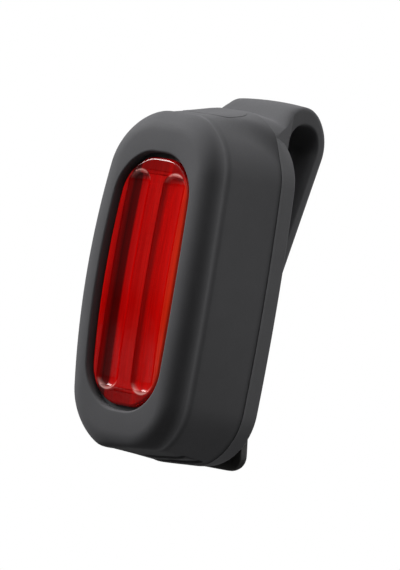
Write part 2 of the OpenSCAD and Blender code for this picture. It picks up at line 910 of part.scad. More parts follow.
module usb_socket() {
    color("#C4C6C8")
    translate([0, port_y, usb_mouth_z]) {
        difference() {
            linear_extrude(usb_l)
                plate(usb_w / 2, usb_t / 2, usb_corner);
            translate([0, 0, -cut])
                linear_extrude(usb_l - 1.1 + cut)
                    plate(usb_w / 2 - usb_shell, usb_t / 2 - usb_shell, usb_corner - usb_shell);
        }
        translate([-3.3, -0.35, 1.3])
            cube([6.6, 0.7, usb_l - 1.3]);
    }
}

module tact_switch() {
    color("#303034")
    difference() {
        translate([-switch_w / 2, board_y - switch_h, switch_top_z - switch_h])
            cube([switch_w, switch_h, switch_h]);
        translate([0, button_y, switch_top_z - button_travel - 0.8])
            cylinder(r = switch_stem_r + slip, h = button_travel + 0.8 + cut);
    }
}

module switch_stem() {
    color("#C8C0A8")
        translate([0, button_y, switch_top_z - 0.6])
            cylinder(r = switch_stem_r, h = switch_stem_l + 0.6);
}

module button_stem() {
    color("#3A3A3E")
    translate([0, button_y, 0]) {
        translate([0, 0, stem_foot_z])
            cylinder(r = stem_r, h = stem_head_z - stem_foot_z);
        translate([0, 0, stem_head_z])
            cylinder(r = stem_head_r, h = stem_head_h);
    }
}

module stem_seal() {
    color("#151517")
        translate([0, button_y, case_hh - seal_r])
            rotate_extrude()
                translate([stem_r + fit + seal_r, 0])
                    circle(seal_r);
}

module power_button() {
    color("#4D4D52")
    intersection() {
        button_prism(stem_head_z + stem_head_h, pad_top_z);
        jacket_block(button_proud);
    }
}

module battery() {
    color("#3D6FA8")
        slab(battery_back_y - battery_t, battery_back_y, battery_w / 2, battery_h / 2, 1);
}

module battery_pad() {
    color("#D9D4C4")
        slab(battery_back_y, board_y, battery_w / 2 - 2.5, battery_h / 2 - 3, 0.5);
}

// Lead from the battery's top edge, bent over to the board at height z
module battery_lead(x) {
    bend = lead_z - battery_h / 2 - lead_r;
    translate([x, board_y - 0.6, lead_z - bend]) {
        translate([0, -bend, -lead_r])
            cylinder(r = lead_r, h = lead_r);
        rotate([0, 90, 0])
            rotate([0, 0, 180])
                rotate_extrude(angle = 90)
                    translate([bend, 0])
                        circle(lead_r);
        translate([0, 0, bend])
            bar(0, 0.6, lead_r);
    }
}

module battery_lead_red() {
    color("#C01818")
        battery_lead(lead_x);
}

module battery_lead_black() {
    color("#101012")
        battery_lead(-lead_x);
}

module led_leads() {
    color("#D0D0D0")
    for (s = [-1, 1])
        translate([lead_x * s, 0, -lead_z])
            bar(cob_back_y, board_y, lead_r);
}

module port_flap() {
    color("#46464B")
    union() {
        intersection() {
            jacket_block(0);
            translate([-flap_hinge_x, port_y - flap_w / 2, -half_h - cut])
                cube([flap_hinge_x + flap_end_x, flap_w, flap_t + cut]);
        }
        translate([0, port_y, flap_floor_z - 0.3])
            linear_extrude(usb_mouth_z + plug_in - flap_floor_z + 0.3)
                plate(plug_w / 2, plug_t / 2, 0.6);
    }
}

rubber_sleeve();
clip_arm();
clip_toe();
clip_spring();
lens();
lens_gasket();
case_front();
case_back();
case_gasket();
case_screws();
reflector();
cob_board();
cob_strip();
cob_screws();
main_board();
board_screws();
controller_chip();
charger_chip();
charge_led();
usb_socket();
tact_switch();
switch_stem();
button_stem();
stem_seal();
power_button();
battery();
battery_pad();
battery_lead_red();
battery_lead_black();
led_leads();
port_flap();
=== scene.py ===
"""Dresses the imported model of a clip-on bicycle rear light.

All sizes are in millimetres until a ring is placed. Blender works in metres, in the frame of the
CAD model: X to the right, -Y out of the lens, +Z up, and the origin in the middle of the back.
"""

import logging
import math
from collections.abc import Callable
from dataclasses import dataclass, field
from enum import Enum

import bmesh
import bpy
from mathutils import Matrix, Vector

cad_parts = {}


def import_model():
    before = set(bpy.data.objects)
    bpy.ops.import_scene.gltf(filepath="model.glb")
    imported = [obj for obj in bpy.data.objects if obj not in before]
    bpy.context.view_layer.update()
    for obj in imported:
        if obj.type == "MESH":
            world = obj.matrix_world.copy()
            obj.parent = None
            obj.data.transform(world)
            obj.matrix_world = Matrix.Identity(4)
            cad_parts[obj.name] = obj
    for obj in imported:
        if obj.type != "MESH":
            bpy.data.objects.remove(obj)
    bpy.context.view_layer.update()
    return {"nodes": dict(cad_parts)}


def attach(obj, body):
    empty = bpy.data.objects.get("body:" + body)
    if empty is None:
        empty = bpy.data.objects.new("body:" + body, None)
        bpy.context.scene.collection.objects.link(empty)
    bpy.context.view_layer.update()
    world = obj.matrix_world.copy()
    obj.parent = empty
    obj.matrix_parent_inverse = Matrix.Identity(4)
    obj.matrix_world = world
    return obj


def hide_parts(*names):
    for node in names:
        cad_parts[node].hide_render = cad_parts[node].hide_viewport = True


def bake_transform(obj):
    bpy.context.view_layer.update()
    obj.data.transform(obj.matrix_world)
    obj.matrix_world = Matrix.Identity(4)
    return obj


LOG = logging.getLogger("rear_light")
MM = 0.001
SHARP = 40.0
WHITE = (1.0, 1.0, 1.0, 1.0)

Point2 = tuple[float, float]
Point3 = tuple[float, float, float]
Colour = tuple[float, float, float, float]
Ring = list[Point3]
# Depth and height of a point on a middle line, and the angle of its normal in degrees
Station = tuple[float, float, float]

Obj = bpy.types.Object
Tree = bpy.types.NodeTree
Node = bpy.types.Node
Socket = bpy.types.NodeSocket


class Body(str, Enum):
    """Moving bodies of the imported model."""

    HOLDER = "holder"
    CLIP = "clip"
    BUTTON = "button"
    FLAP = "flap"


def clamp(value: float) -> float:
    """Returns the value held between 0 and 1."""
    return max(0.0, min(1.0, value))


def ease(value: float) -> float:
    """Returns an eased step from 0 to 1."""
    t = clamp(value)
    return t * t * (3.0 - 2.0 * t)


def lerp(a: float, b: float, t: float) -> float:
    """Returns the value that lies the share t of the way from a to b."""
    return a + (b - a) * t


def soft_max(a: float, b: float, k: float) -> float:
    """Returns the larger of two values, with a rounded change of width k between them."""
    h = max(k - abs(a - b), 0.0) / k
    return max(a, b) + h * h * k / 4.0


def turn(degrees: float) -> Point2:
    """Returns the cosine and sine of an angle."""
    a = math.radians(degrees)
    return (math.cos(a), math.sin(a))


def quarter(steps: int) -> list[Point2]:
    """Returns the cosines and sines of a quarter turn in even steps."""
    return [turn(90.0 * k / steps) for k in range(steps + 1)]


def round_over(r: float, steps: int = 5) -> list[Point2]:
    """Returns how far a rounded edge lies in from its side and down from its face, in steps."""
    return [(r * (1.0 - c), r * (1.0 - s)) for c, s in quarter(steps)]


def hex_linear(code: str) -> Colour:
    """Turns an sRGB hex colour into linear RGBA.

    Args:
        code: Colour such as "#45454A".

    Returns:
        The linear colour with an alpha of 1.
    """
    values = [int(code[k : k + 2], 16) / 255.0 for k in (1, 3, 5)]
    linear = [v / 12.92 if v <= 0.04045 else ((v + 0.055) / 1.055) ** 2.4 for v in values]
    return (linear[0], linear[1], linear[2], 1.0)


def rounded_outline(
    w: float, h: float, r: float, arc: int = 26, side: int = 22, end: int = 7
) -> list[Point2]:
    """Makes a rounded rectangle, counter-clockwise from its lower right corner.

    Args:
        w: Half width.
        h: Half height.
        r: Corner radius.
        arc: Steps in each corner.
        side: Points inside each upright side.
        end: Points inside each level end.

    Returns:
        The points; their number depends on the three counts alone.
    """
    points: list[Point2] = []

    def corner(x: float, z: float, start: float) -> None:
        """Adds a quarter circle."""
        for c, s in (turn(start + 90.0 * k / arc) for k in range(arc + 1)):
            points.append((x + r * c, z + r * s))

    uprights, levels = range(1, side + 1), range(1, end + 1)
    corner(w - r, r - h, -90.0)
    points.extend((w, (h - r) * (2.0 * k / (side + 1) - 1.0)) for k in uprights)
    corner(w - r, h - r, 0.0)
    points.extend(((w - r) * (1.0 - 2.0 * k / (end + 1)), h) for k in levels)
    corner(r - w, h - r, 90.0)
    points.extend((-w, (h - r) * (1.0 - 2.0 * k / (side + 1))) for k in uprights)
    corner(r - w, r - h, 180.0)
    points.extend(((w - r) * (2.0 * k / (end + 1) - 1.0), -h) for k in levels)
    return points


def flat_ring(sizes: Point3, y: float) -> Ring:
    """Returns a rounded rectangle as a ring at one depth."""
    return [(x, y, z) for x, z in rounded_outline(*sizes)]


def deselect_all() -> None:
    """Leaves edit mode and deselects every object."""
    if bpy.context.object is not None and bpy.context.object.mode != "OBJECT":
        bpy.ops.object.mode_set(mode="OBJECT")
    for obj in list(bpy.context.selected_objects):
        obj.select_set(False)


def make_active(obj: Obj) -> None:
    """Makes one object the only selected and the active one.

    Args:
        obj: The object.
    """
    deselect_all()
    obj.select_set(True)
    bpy.context.view_layer.objects.active = obj


def smooth_by_angle(obj: Obj, degrees: float) -> None:
    """Shades an object smooth except at edges sharper than an angle."""
    make_active(obj)
    bpy.ops.object.shade_smooth_by_angle(angle=math.radians(degrees))


def select_faces(obj: Obj, test: Callable[[bmesh.types.BMFace], bool]) -> None:
    """Selects, in edit mode, just the faces that pass a test.

    Args:
        obj: The object in edit mode.
        test: Says whether a face is wanted.
    """
    bpy.ops.mesh.select_mode(type="FACE")
    bpy.ops.mesh.select_all(action="DESELECT")
    for face in bmesh.from_edit_mesh(obj.data).faces:
        face.select = test(face)
    bmesh.update_edit_mesh(obj.data)


class RingLoft:
    """A closed skin that grows in edit mode, one extruded ring after another."""

    def __init__(self, name: str, first: Ring) -> None:
        """Adds a filled circle and lays it on the first ring.

        Args:
            name: Name of the piece.
            first: Points of the first ring, in millimetres.
        """
        deselect_all()
        bpy.ops.mesh.primitive_circle_add(vertices=len(first), radius=0.01, fill_type="NGON")
        self.obj: Obj = bpy.context.object
        self.obj.name = name
        self.obj.data.name = name
        bpy.ops.object.mode_set(mode="EDIT")
        mesh = bmesh.from_edit_mesh(self.obj.data)
        mesh.verts.ensure_lookup_table()
        self.front: list[int] = [v.index for v in mesh.verts]
        self._place(mesh, first)

    def _place(self, mesh: bmesh.types.BMesh, ring: Ring) -> None:
        """Moves the newest ring of vertices to its points.

        Args:
            mesh: The mesh in edit mode.
            ring: The points, in millimetres.
        """
        for index, (x, y, z) in zip(self.front, ring):
            mesh.verts[index].co = (x * MM, y * MM, z * MM)
        bmesh.update_edit_mesh(self.obj.data)

    def grow(self, ring: Ring) -> None:
        """Extrudes the end face and lays it on the next ring.

        Args:
            ring: Points of the next ring, in millimetres, as many as in the first.
        """
        bpy.ops.mesh.extrude_region_move(TRANSFORM_OT_translate={"value": (0.0, 0.0, 0.0)})
        mesh = bmesh.from_edit_mesh(self.obj.data)
        mesh.verts.ensure_lookup_table()
        mesh.verts.index_update()
        place = {old: k for k, old in enumerate(self.front)}
        front = list(self.front)
        for vert in mesh.verts:
            if vert.select:
                for edge in vert.link_edges:
                    other = edge.other_vert(vert)
                    if not other.select and other.index in place:
                        front[place[other.index]] = vert.index
        self.front = front
        self._place(mesh, ring)

    def close(self, degrees: float) -> Obj:
        """Turns the faces outwards and shades the finished skin.

        Args:
            degrees: Angle above which an edge stays sharp.

        Returns:
            The finished object.
        """
        bpy.ops.mesh.select_all(action="SELECT")
        bpy.ops.mesh.normals_make_consistent(inside=False)
        bpy.ops.object.mode_set(mode="OBJECT")
        smooth_by_angle(self.obj, degrees)
        return self.obj


def loft(name: str, rings: list[Ring], degrees: float = SHARP) -> Obj:
    """Grows a closed skin through rings.

    Args:
        name: Name of the piece.
        rings: The rings in order, in millimetres.
        degrees: Angle above which an edge stays sharp.

    Returns:
        The finished object.
    """
    skin = RingLoft(name, rings[0])
    for ring in rings[1:]:
        skin.grow(ring)
    return skin.close(degrees)


def subtract(obj: Obj, tool: Obj) -> None:
    """Cuts one closed mesh out of another and removes the cutting mesh.

    Args:
        obj: The piece that is cut.
        tool: The mesh that cuts.
    """
    make_active(obj)
    cut = obj.modifiers.new("cut", "BOOLEAN")
    cut.operation = "DIFFERENCE"
    cut.solver = "EXACT"
    cut.object = tool
    bpy.ops.object.modifier_apply(modifier=cut.name)
    mesh = tool.data
    bpy.data.objects.remove(tool)
    bpy.data.meshes.remove(mesh)


def plate_tool(name: str, centre: Point2, half: Point2, r: float, span: Point2) -> Obj:
    """Makes an upright prism with rounded corners for a cut.

    Args:
        name: Name of the prism.
        centre: Its middle in X and Y.
        half: Its half sizes in X and Y.
        r: Corner radius.
        span: Heights of its foot and its top.

    Returns:
        The prism.
    """
    outline = rounded_outline(half[0], half[1], r, 8, 2, 2)
    return loft(name, [[(centre[0] + x, centre[1] + y, z) for x, y in outline] for z in span])


def add_node(
    tree: Tree, kind: str, inputs: dict[str | int, object] | None = None, **attributes: object
) -> Node:
    """Adds a shader node with its settings and links.

    Args:
        tree: Node tree that takes the node.
        kind: Blender's name for the node, after the words that all of them share.
        inputs: For an input socket, its value, or the output or the node that feeds it, a node
            through its first output.
        **attributes: Attributes of the node itself.

    Returns:
        The node.
    """
    node = tree.nodes.new("ShaderNode" + kind)
    for name, value in attributes.items():
        setattr(node, name, value)
    for socket, value in (inputs or {}).items():
        source = value.outputs[0] if isinstance(value, Node) else value
        if isinstance(source, Socket):
            tree.links.new(source, node.inputs[socket])
        else:
            node.inputs[socket].default_value = value
    return node


def empty_tree(owner: bpy.types.Material | bpy.types.World) -> Tree:
    """Gives a material or world an empty node tree.

    Args:
        owner: The material or world.

    Returns:
        Its tree.
    """
    owner.use_nodes = True
    owner.node_tree.nodes.clear()
    return owner.node_tree


def per_mm(size: float) -> float:
    """Returns a texture scale whose features are about that many millimetres wide."""
    return 1.0 / (size * MM)


@dataclass(frozen=True)
class Finish:
    """A moulded, cast or rolled surface with soft colour changes and a fine grain."""

    name: str
    slot: str
    dark: str
    light: str
    mottle: float = 4.0
    grain: float = 0.35
    relief: float = 0.012
    rough: Point2 = (0.45, 0.6)
    metallic: float = 0.0
    specular: float = 0.5
    ior: float = 1.5
    streak: float = 1.0

    def material(self) -> bpy.types.Material:
        """Makes the finish's material, once.

        Returns:
            The material.
        """
        known = bpy.data.materials.get(self.name)
        if known is not None:
            return known
        material = bpy.data.materials.new(self.name)
        tree = empty_tree(material)
        shader = add_node(tree, "BsdfPrincipled")
        add_node(tree, "OutputMaterial", {"Surface": shader})
        place = add_node(tree, "TexCoord").outputs["Object"]
        scale = (1.0, 1.0, 1.0 / self.streak)
        drawn = add_node(tree, "Mapping", {"Scale": scale, "Vector": place})
        self.paint(tree, shader, drawn.outputs["Vector"])
        return material

    def paint(self, tree: Tree, shader: Node, place: Socket) -> None:
        """Sets the shader and the patterns that feed it.

        Args:
            tree: The material's nodes.
            shader: The principled shader.
            place: Object coordinates of the surface.
        """
        shader.inputs["Metallic"].default_value = self.metallic
        shader.inputs["IOR"].default_value = self.ior
        shader.inputs["Specular IOR Level"].default_value = self.specular
        clouds = add_node(tree, "TexNoise", {
            "Vector": place, "Scale": per_mm(self.mottle), "Detail": 3.0, "Roughness": 0.55,
        })
        ends = {6: hex_linear(self.dark), 7: hex_linear(self.light)}
        tint = add_node(tree, "Mix", {0: clouds, **ends}, data_type="RGBA")
        tree.links.new(tint.outputs[2], shader.inputs["Base Color"])
        grit = add_node(tree, "TexNoise", {
            "Vector": place, "Scale": per_mm(self.grain), "Detail": 2.0, "Roughness": 0.6,
        })
        rough = add_node(tree, "MapRange", {
            "Value": grit, "From Min": 0.3, "From Max": 0.7,
            "To Min": self.rough[0], "To Max": self.rough[1],
        })
        tree.links.new(rough.outputs["Result"], shader.inputs["Roughness"])
        relief = self.relief * MM
        bump = add_node(tree, "Bump", {"Strength": 1.0, "Distance": relief, "Height": grit})
        tree.links.new(bump.outputs["Normal"], shader.inputs["Normal"])


@dataclass(frozen=True)
class SiliconeSkin(Finish):
    """Silicone from a spark-eroded mould, with a soft bloom at grazing angles."""

    bloom: float = 0.12
    bloom_rough: float = 0.55
    bloom_tint: str = "#D8D8DC"

    def paint(self, tree: Tree, shader: Node, place: Socket) -> None:
        """Adds the bloom to the plain grain.

        Args:
            tree: The material's nodes.
            shader: The principled shader.
            place: Object coordinates of the surface.
        """
        super().paint(tree, shader, place)
        shader.inputs["Sheen Weight"].default_value = self.bloom
        shader.inputs["Sheen Roughness"].default_value = self.bloom_rough
        shader.inputs["Sheen Tint"].default_value = hex_linear(self.bloom_tint)


@dataclass(frozen=True)
class RedLens(Finish):
    """A clear red body with painted shade and light bands, streaks, painted end highlights and a
    painted glow.
    """

    clear: float = 0.2
    # Strength of a painted red glow: the lens gives off light though no lamp is lit in it
    glow: float = 0.1
    span: float = 8.2
    # Painted shade and light by place across: dark on the left flute, lighter on the rims
    painted_shading: tuple[tuple[float, str], ...] = ()
    streaks: float = 0.18
    streak_w: float = 0.3
    streak_draw: float = 0.012
    ends: Point2 = (18.6, 19.6)
    ends_dim: float = 0.55
    pocket: Point2 = (3.95, 16.95)
    # Painted highlights at the flute ends: strength out from each end, where they start, level,
    # colour
    highlight_profile: tuple[Point2, ...] = ((1.7, 0.0), (2.1, 0.5), (2.3, 1.0), (2.5, 0.0))
    highlight_start: Point2 = (0.5, 1.6)
    highlight_level: float = 0.8
    highlight_colour: str = "#F0B8B0"

    def paint(self, tree: Tree, shader: Node, place: Socket) -> None:
        """Adds the painted shading and highlights, the streaks, the clear body and a painted glow.

        Args:
            tree: The material's nodes.
            shader: The principled shader.
            place: Object coordinates of the surface.
        """
        super().paint(tree, shader, place)
        shader.inputs["Transmission Weight"].default_value = self.clear
        # Painted glow: the lens emits light of its own
        shader.inputs["Emission Strength"].default_value = self.glow
        split = add_node(tree, "SeparateXYZ", {"Vector": place})
        # Painted shade and light: the red changes by place across, darker on the left flute, paler
        # at rims
        across = add_node(tree, "MapRange", {
            "Value": split.outputs["X"], "From Min": -self.span * MM, "From Max": self.span * MM,
        })
        painted_shading = add_node(tree, "ValToRGB", {"Fac": across})
        stops = [((x + self.span) / (2.0 * self.span), hex_linear(code)) for x, code in self.painted_shading]
        self.lay_stops(painted_shading, stops)
        drawn = add_node(tree, "Mapping", {"Scale": (1.0, 1.0, self.streak_draw), "Vector": place})
        lines = add_node(tree, "TexNoise", {
            "Vector": drawn, "Scale": per_mm(self.streak_w), "Detail": 3.0, "Roughness": 0.7,
        })
        shade = add_node(tree, "MapRange", {
            "Value": lines, "From Min": 0.3, "From Max": 0.7,
            "To Min": 1.0 - self.streaks, "To Max": 1.0 + self.streaks,
        })
        height = add_node(tree, "Math", {0: split.outputs["Z"]}, operation="ABSOLUTE")
        ends = add_node(tree, "MapRange", {
            "Value": height, "From Min": self.ends[0] * MM, "From Max": self.ends[1] * MM,
            "To Min": 1.0, "To Max": self.ends_dim,
        })
        dim = add_node(tree, "Math", {0: shade, 1: ends}, operation="MULTIPLY")
        body = add_node(tree, "VectorMath", {0: painted_shading, "Scale": dim}, operation="SCALE")
        # Painted highlights, pale pink, mixed over the round ends of the flutes
        end_highlights = self.painted_end_highlights(tree, place, height)
        wall = hex_linear(self.highlight_colour)
        mixed = add_node(tree, "Mix", {0: end_highlights, 6: body, 7: wall}, data_type="RGBA")
        tree.links.new(mixed.outputs[2], shader.inputs["Base Color"])
        # The painted glow takes the colour of the painted shading
        tree.links.new(body.outputs["Vector"], shader.inputs["Emission Color"])

    def lay_stops(self, ramp: Node, stops: list[tuple[float, Colour]]) -> None:
        """Lays colours along a ramp.

        Args:
            ramp: The ramp.
            stops: Places between 0 and 1 with their colours, in order.
        """
        elements = ramp.color_ramp.elements
        while len(elements) < len(stops):
            elements.new(1.0)
        for element, (place, colour) in zip(elements, stops):
            element.position = place
            element.color = colour

    def painted_end_highlights(self, tree: Tree, place: Socket, height: Node) -> Node:
        """Paints pale pink highlights on the round ends of the two flutes.

        Args:
            tree: The material's nodes.
            place: Object coordinates of the surface.
            height: Distance of the surface from mid height.

        Returns:
            How far a point takes the painted highlight's colour.
        """
        x, z = self.pocket
        centre = (x * MM, 0.0, z * MM)
        folded = add_node(tree, "VectorMath", {0: place}, operation="ABSOLUTE")
        moved = add_node(tree, "VectorMath", {0: folded, 1: centre}, operation="SUBTRACT")
        flat = add_node(tree, "VectorMath", {0: moved, 1: (1.0, 0.0, 1.0)}, operation="MULTIPLY")
        far = add_node(tree, "VectorMath", {0: flat}, operation="LENGTH")
        share = add_node(tree, "MapRange", {
            "Value": far.outputs["Value"], "From Max": self.span * MM,
        })
        ring = add_node(tree, "ValToRGB", {"Fac": share})
        self.lay_stops(ring, [(r / self.span, (v, v, v, 1.0)) for r, v in self.highlight_profile])
        start, full = self.highlight_start
        beyond = add_node(tree, "MapRange", {
            "Value": height, "From Min": (z + start) * MM, "From Max": (z + full) * MM,
            "To Max": self.highlight_level,
        })
        return add_node(tree, "Math", {0: ring, 1: beyond}, operation="MULTIPLY")


@dataclass(frozen=True)
class BoardMask(Finish):
    """Solder mask over copper, with lighter tracks that show through."""

    track: str = "#2F6B45"
    pitch: float = 9.0

    def paint(self, tree: Tree, shader: Node, place: Socket) -> None:
        """Adds the tracks to the mottled mask.

        Args:
            tree: The material's nodes.
            shader: The principled shader.
            place: Object coordinates of the surface.
        """
        super().paint(tree, shader, place)
        base = shader.inputs["Base Color"].links[0].from_socket
        tracks = add_node(tree, "TexBrick", {
            "Vector": place, "Scale": per_mm(self.pitch), "Mortar Size": 0.035,
            "Brick Width": 0.4, "Row Height": 0.22,
        }).outputs["Fac"]
        copper = hex_linear(self.track)
        mixed = add_node(tree, "Mix", {0: tracks, 6: base, 7: copper}, data_type="RGBA")
        tree.links.new(mixed.outputs[2], shader.inputs["Base Color"])


# Moulded silicone: an even dark grey without gloss, paler where a face turns away from the eye
SILICONE = SiliconeSkin(
    "silicone_moulded_grey", "silicone", "#434345", "#4B4B4D",
    mottle=6.0, grain=0.22, relief=0.010, rough=(0.62, 0.78), specular=0.3, ior=1.41,
)
# Moulded hard rubber: nearly black, and smooth enough for a thin line of light at its edges
TOE_RUBBER = SiliconeSkin(
    "hard_rubber_black", "toe_black", "#0C0C08", "#12120D",
    mottle=4.0, grain=0.25, relief=0.010, rough=(0.5, 0.66), specular=0.35, ior=1.45, bloom=0.04,
)
# Polished polycarbonate: deep red with hard gloss, with bands of painted shade and painted light
LENS = RedLens(
    "polycarbonate_red_polished", "lens_red", "#CE0000", "#DC0200",
    mottle=9.0, grain=1.4, relief=0.002, rough=(0.08, 0.12), specular=0.25, ior=1.5,
    # Painted shade and light across the lens, by millimetres from its middle
    painted_shading=(
        (-8.0, "#D80C06"), (-7.7, "#C00400"), (-7.4, "#AC0200"), (-6.1, "#A40000"),
        (-5.6, "#520000"), (-4.3, "#520000"), (-3.9, "#AC0000"), (0.0, "#B00201"),
        (0.3, "#B40A07"), (1.9, "#BC0A07"), (2.5, "#D80402"), (3.3, "#BC0200"),
        (6.1, "#B00300"), (6.4, "#BE1C0C"), (7.9, "#D02A0E"),
    ),
)
# Rolled spring steel: bright, with fine lines drawn out along the strip
SPRING = Finish(
    "spring_steel_rolled", "spring_steel", "#9A9DA1", "#B9BCC0",
    mottle=2.5, grain=0.3, relief=0.004, rough=(0.22, 0.36), metallic=1.0, streak=12.0,
)
# Moulded nitrile: flat black with hardly a highlight
SEAL = Finish(
    "nitrile_seal_black", "seal_rubber", "#1A1A1B", "#242426",
    mottle=2.0, rough=(0.6, 0.72), specular=0.3,
)
# Moulded ABS: black, with a fine grain that breaks its soft shine
CASE = Finish(
    "abs_moulded_black", "case_black", "#19191B", "#232326",
    grain=0.3, relief=0.015, rough=(0.4, 0.55),
)
# Moulded PBT: a clean half-gloss white
REFLECTOR = Finish(
    "pbt_reflector_white", "reflector_white", "#E4E2DC", "#F2F0EA", grain=0.5, rough=(0.25, 0.4)
)
# Anodised aluminium: pale satin metal with faint rolling lines
BOARD_METAL = Finish(
    "aluminium_board_anodised", "board_aluminium", "#C9CBCC", "#DADBDC",
    mottle=3.0, grain=0.25, rough=(0.3, 0.45), metallic=0.6, streak=6.0,
)
# Poured silicone gel with phosphor: a warm, cloudy yellow
PHOSPHOR = Finish(
    "silicone_gel_phosphor", "phosphor", "#D9B23C", "#E8C862",
    mottle=1.2, grain=0.2, rough=(0.35, 0.5),
)
# Zinc-plated steel: grey metal with small soft glints
SCREW = Finish(
    "screw_steel_zinc_plated", "screw_steel", "#8E9092", "#B4B6B8",
    mottle=0.8, grain=0.15, relief=0.004, rough=(0.25, 0.4), metallic=1.0,
)
# Glass laminate under solder mask: dark glossy green with paler tracks
BOARD = BoardMask(
    "fr4_solder_mask_green", "board_green", "#16402A", "#1D4D33", mottle=5.0, rough=(0.28, 0.4)
)
# Moulded epoxy: matt charcoal
CHIP = Finish(
    "epoxy_package_black", "chip_black", "#1B1B1D", "#27272A",
    mottle=0.9, grain=0.12, rough=(0.5, 0.65),
)
# Cast epoxy: a milky, shiny bead
LED_RESIN = Finish(
    "epoxy_led_clear", "led_clear", "#D8D4C4", "#ECE8DA", mottle=0.5, grain=0.2, rough=(0.12, 0.2)
)
# Stamped stainless steel: bright, with faint lines along the fold
SHELL = Finish(
    "stainless_shell_stamped", "shell_steel", "#A9ABAE", "#C6C8CA",
    mottle=1.5, grain=0.2, relief=0.003, rough=(0.2, 0.34), metallic=1.0, streak=5.0,
)
# Moulded nylon: dull black
SWITCH = Finish(
    "nylon_switch_black", "switch_body", "#202022", "#2C2C2F",
    mottle=1.2, grain=0.15, rough=(0.45, 0.6),
)
# Moulded acetal: waxy, in cream and in grey
SWITCH_STEM = Finish(
    "acetal_stem_cream", "switch_cream", "#CFC6AE", "#DDD5C0", mottle=0.8, rough=(0.35, 0.5)
)
STEM = Finish("acetal_stem_grey", "stem_grey", "#6C6E72", "#7C7E82", mottle=1.2, rough=(0.35, 0.5))
# Pouch laminate: silver foil with small crinkles
CELL = Finish(
    "pouch_cell_laminate", "cell_wrap", "#9DA2A8", "#BFC4C9",
    mottle=3.5, grain=0.6, relief=0.03, rough=(0.25, 0.42), metallic=0.85,
)
# Cut EVA foam: rough black that takes in the light
FOAM = Finish(
    "eva_foam_black", "foam", "#232325", "#323235",
    mottle=0.5, grain=0.18, relief=0.05, rough=(0.8, 0.95),
)
# Extruded PVC: smooth colour with a soft highlight along the lead
LEAD_RED = Finish("pvc_lead_red", "lead_red", "#A81512", "#BE1E1A", mottle=0.6, rough=(0.35, 0.5))
LEAD_BLACK = Finish(
    "pvc_lead_black", "lead_black", "#18181A", "#242427", mottle=0.6, rough=(0.35, 0.5)
)
LEAD_WHITE = Finish(
    "pvc_lead_white", "lead_white", "#DAD8D2", "#EAE8E3", mottle=0.6, rough=(0.35, 0.5)
)

NODE_FINISH: dict[str, Finish] = {
    "rubber_sleeve": SILICONE, "clip_arm": SILICONE, "power_button": SILICONE,
    "port_flap": SILICONE, "clip_toe": TOE_RUBBER, "clip_spring": SPRING, "lens": LENS,
    "lens_gasket": SEAL, "stem_seal": SEAL, "case_gasket": SEAL, "case_front": CASE,
    "case_back": CASE, "case_screws": SCREW, "reflector": REFLECTOR, "cob_board": BOARD_METAL,
    "cob_strip": PHOSPHOR, "cob_screws": SCREW, "main_board": BOARD, "board_screws": SCREW,
    "controller_chip": CHIP, "charger_chip": CHIP, "charge_led": LED_RESIN, "usb_socket": SHELL,
    "tact_switch": SWITCH, "switch_stem": SWITCH_STEM, "button_stem": STEM, "battery": CELL,
    "battery_pad": FOAM, "battery_lead_red": LEAD_RED, "battery_lead_black": LEAD_BLACK,
    "led_leads": LEAD_WHITE,
}


def dress(obj: Obj, finish: Finish) -> None:
    """Gives a new piece the material of its finish.

    Args:
        obj: The piece.
        finish: Its finish.
    """
    obj.data.materials.clear()
    obj.data.materials.append(finish.material())


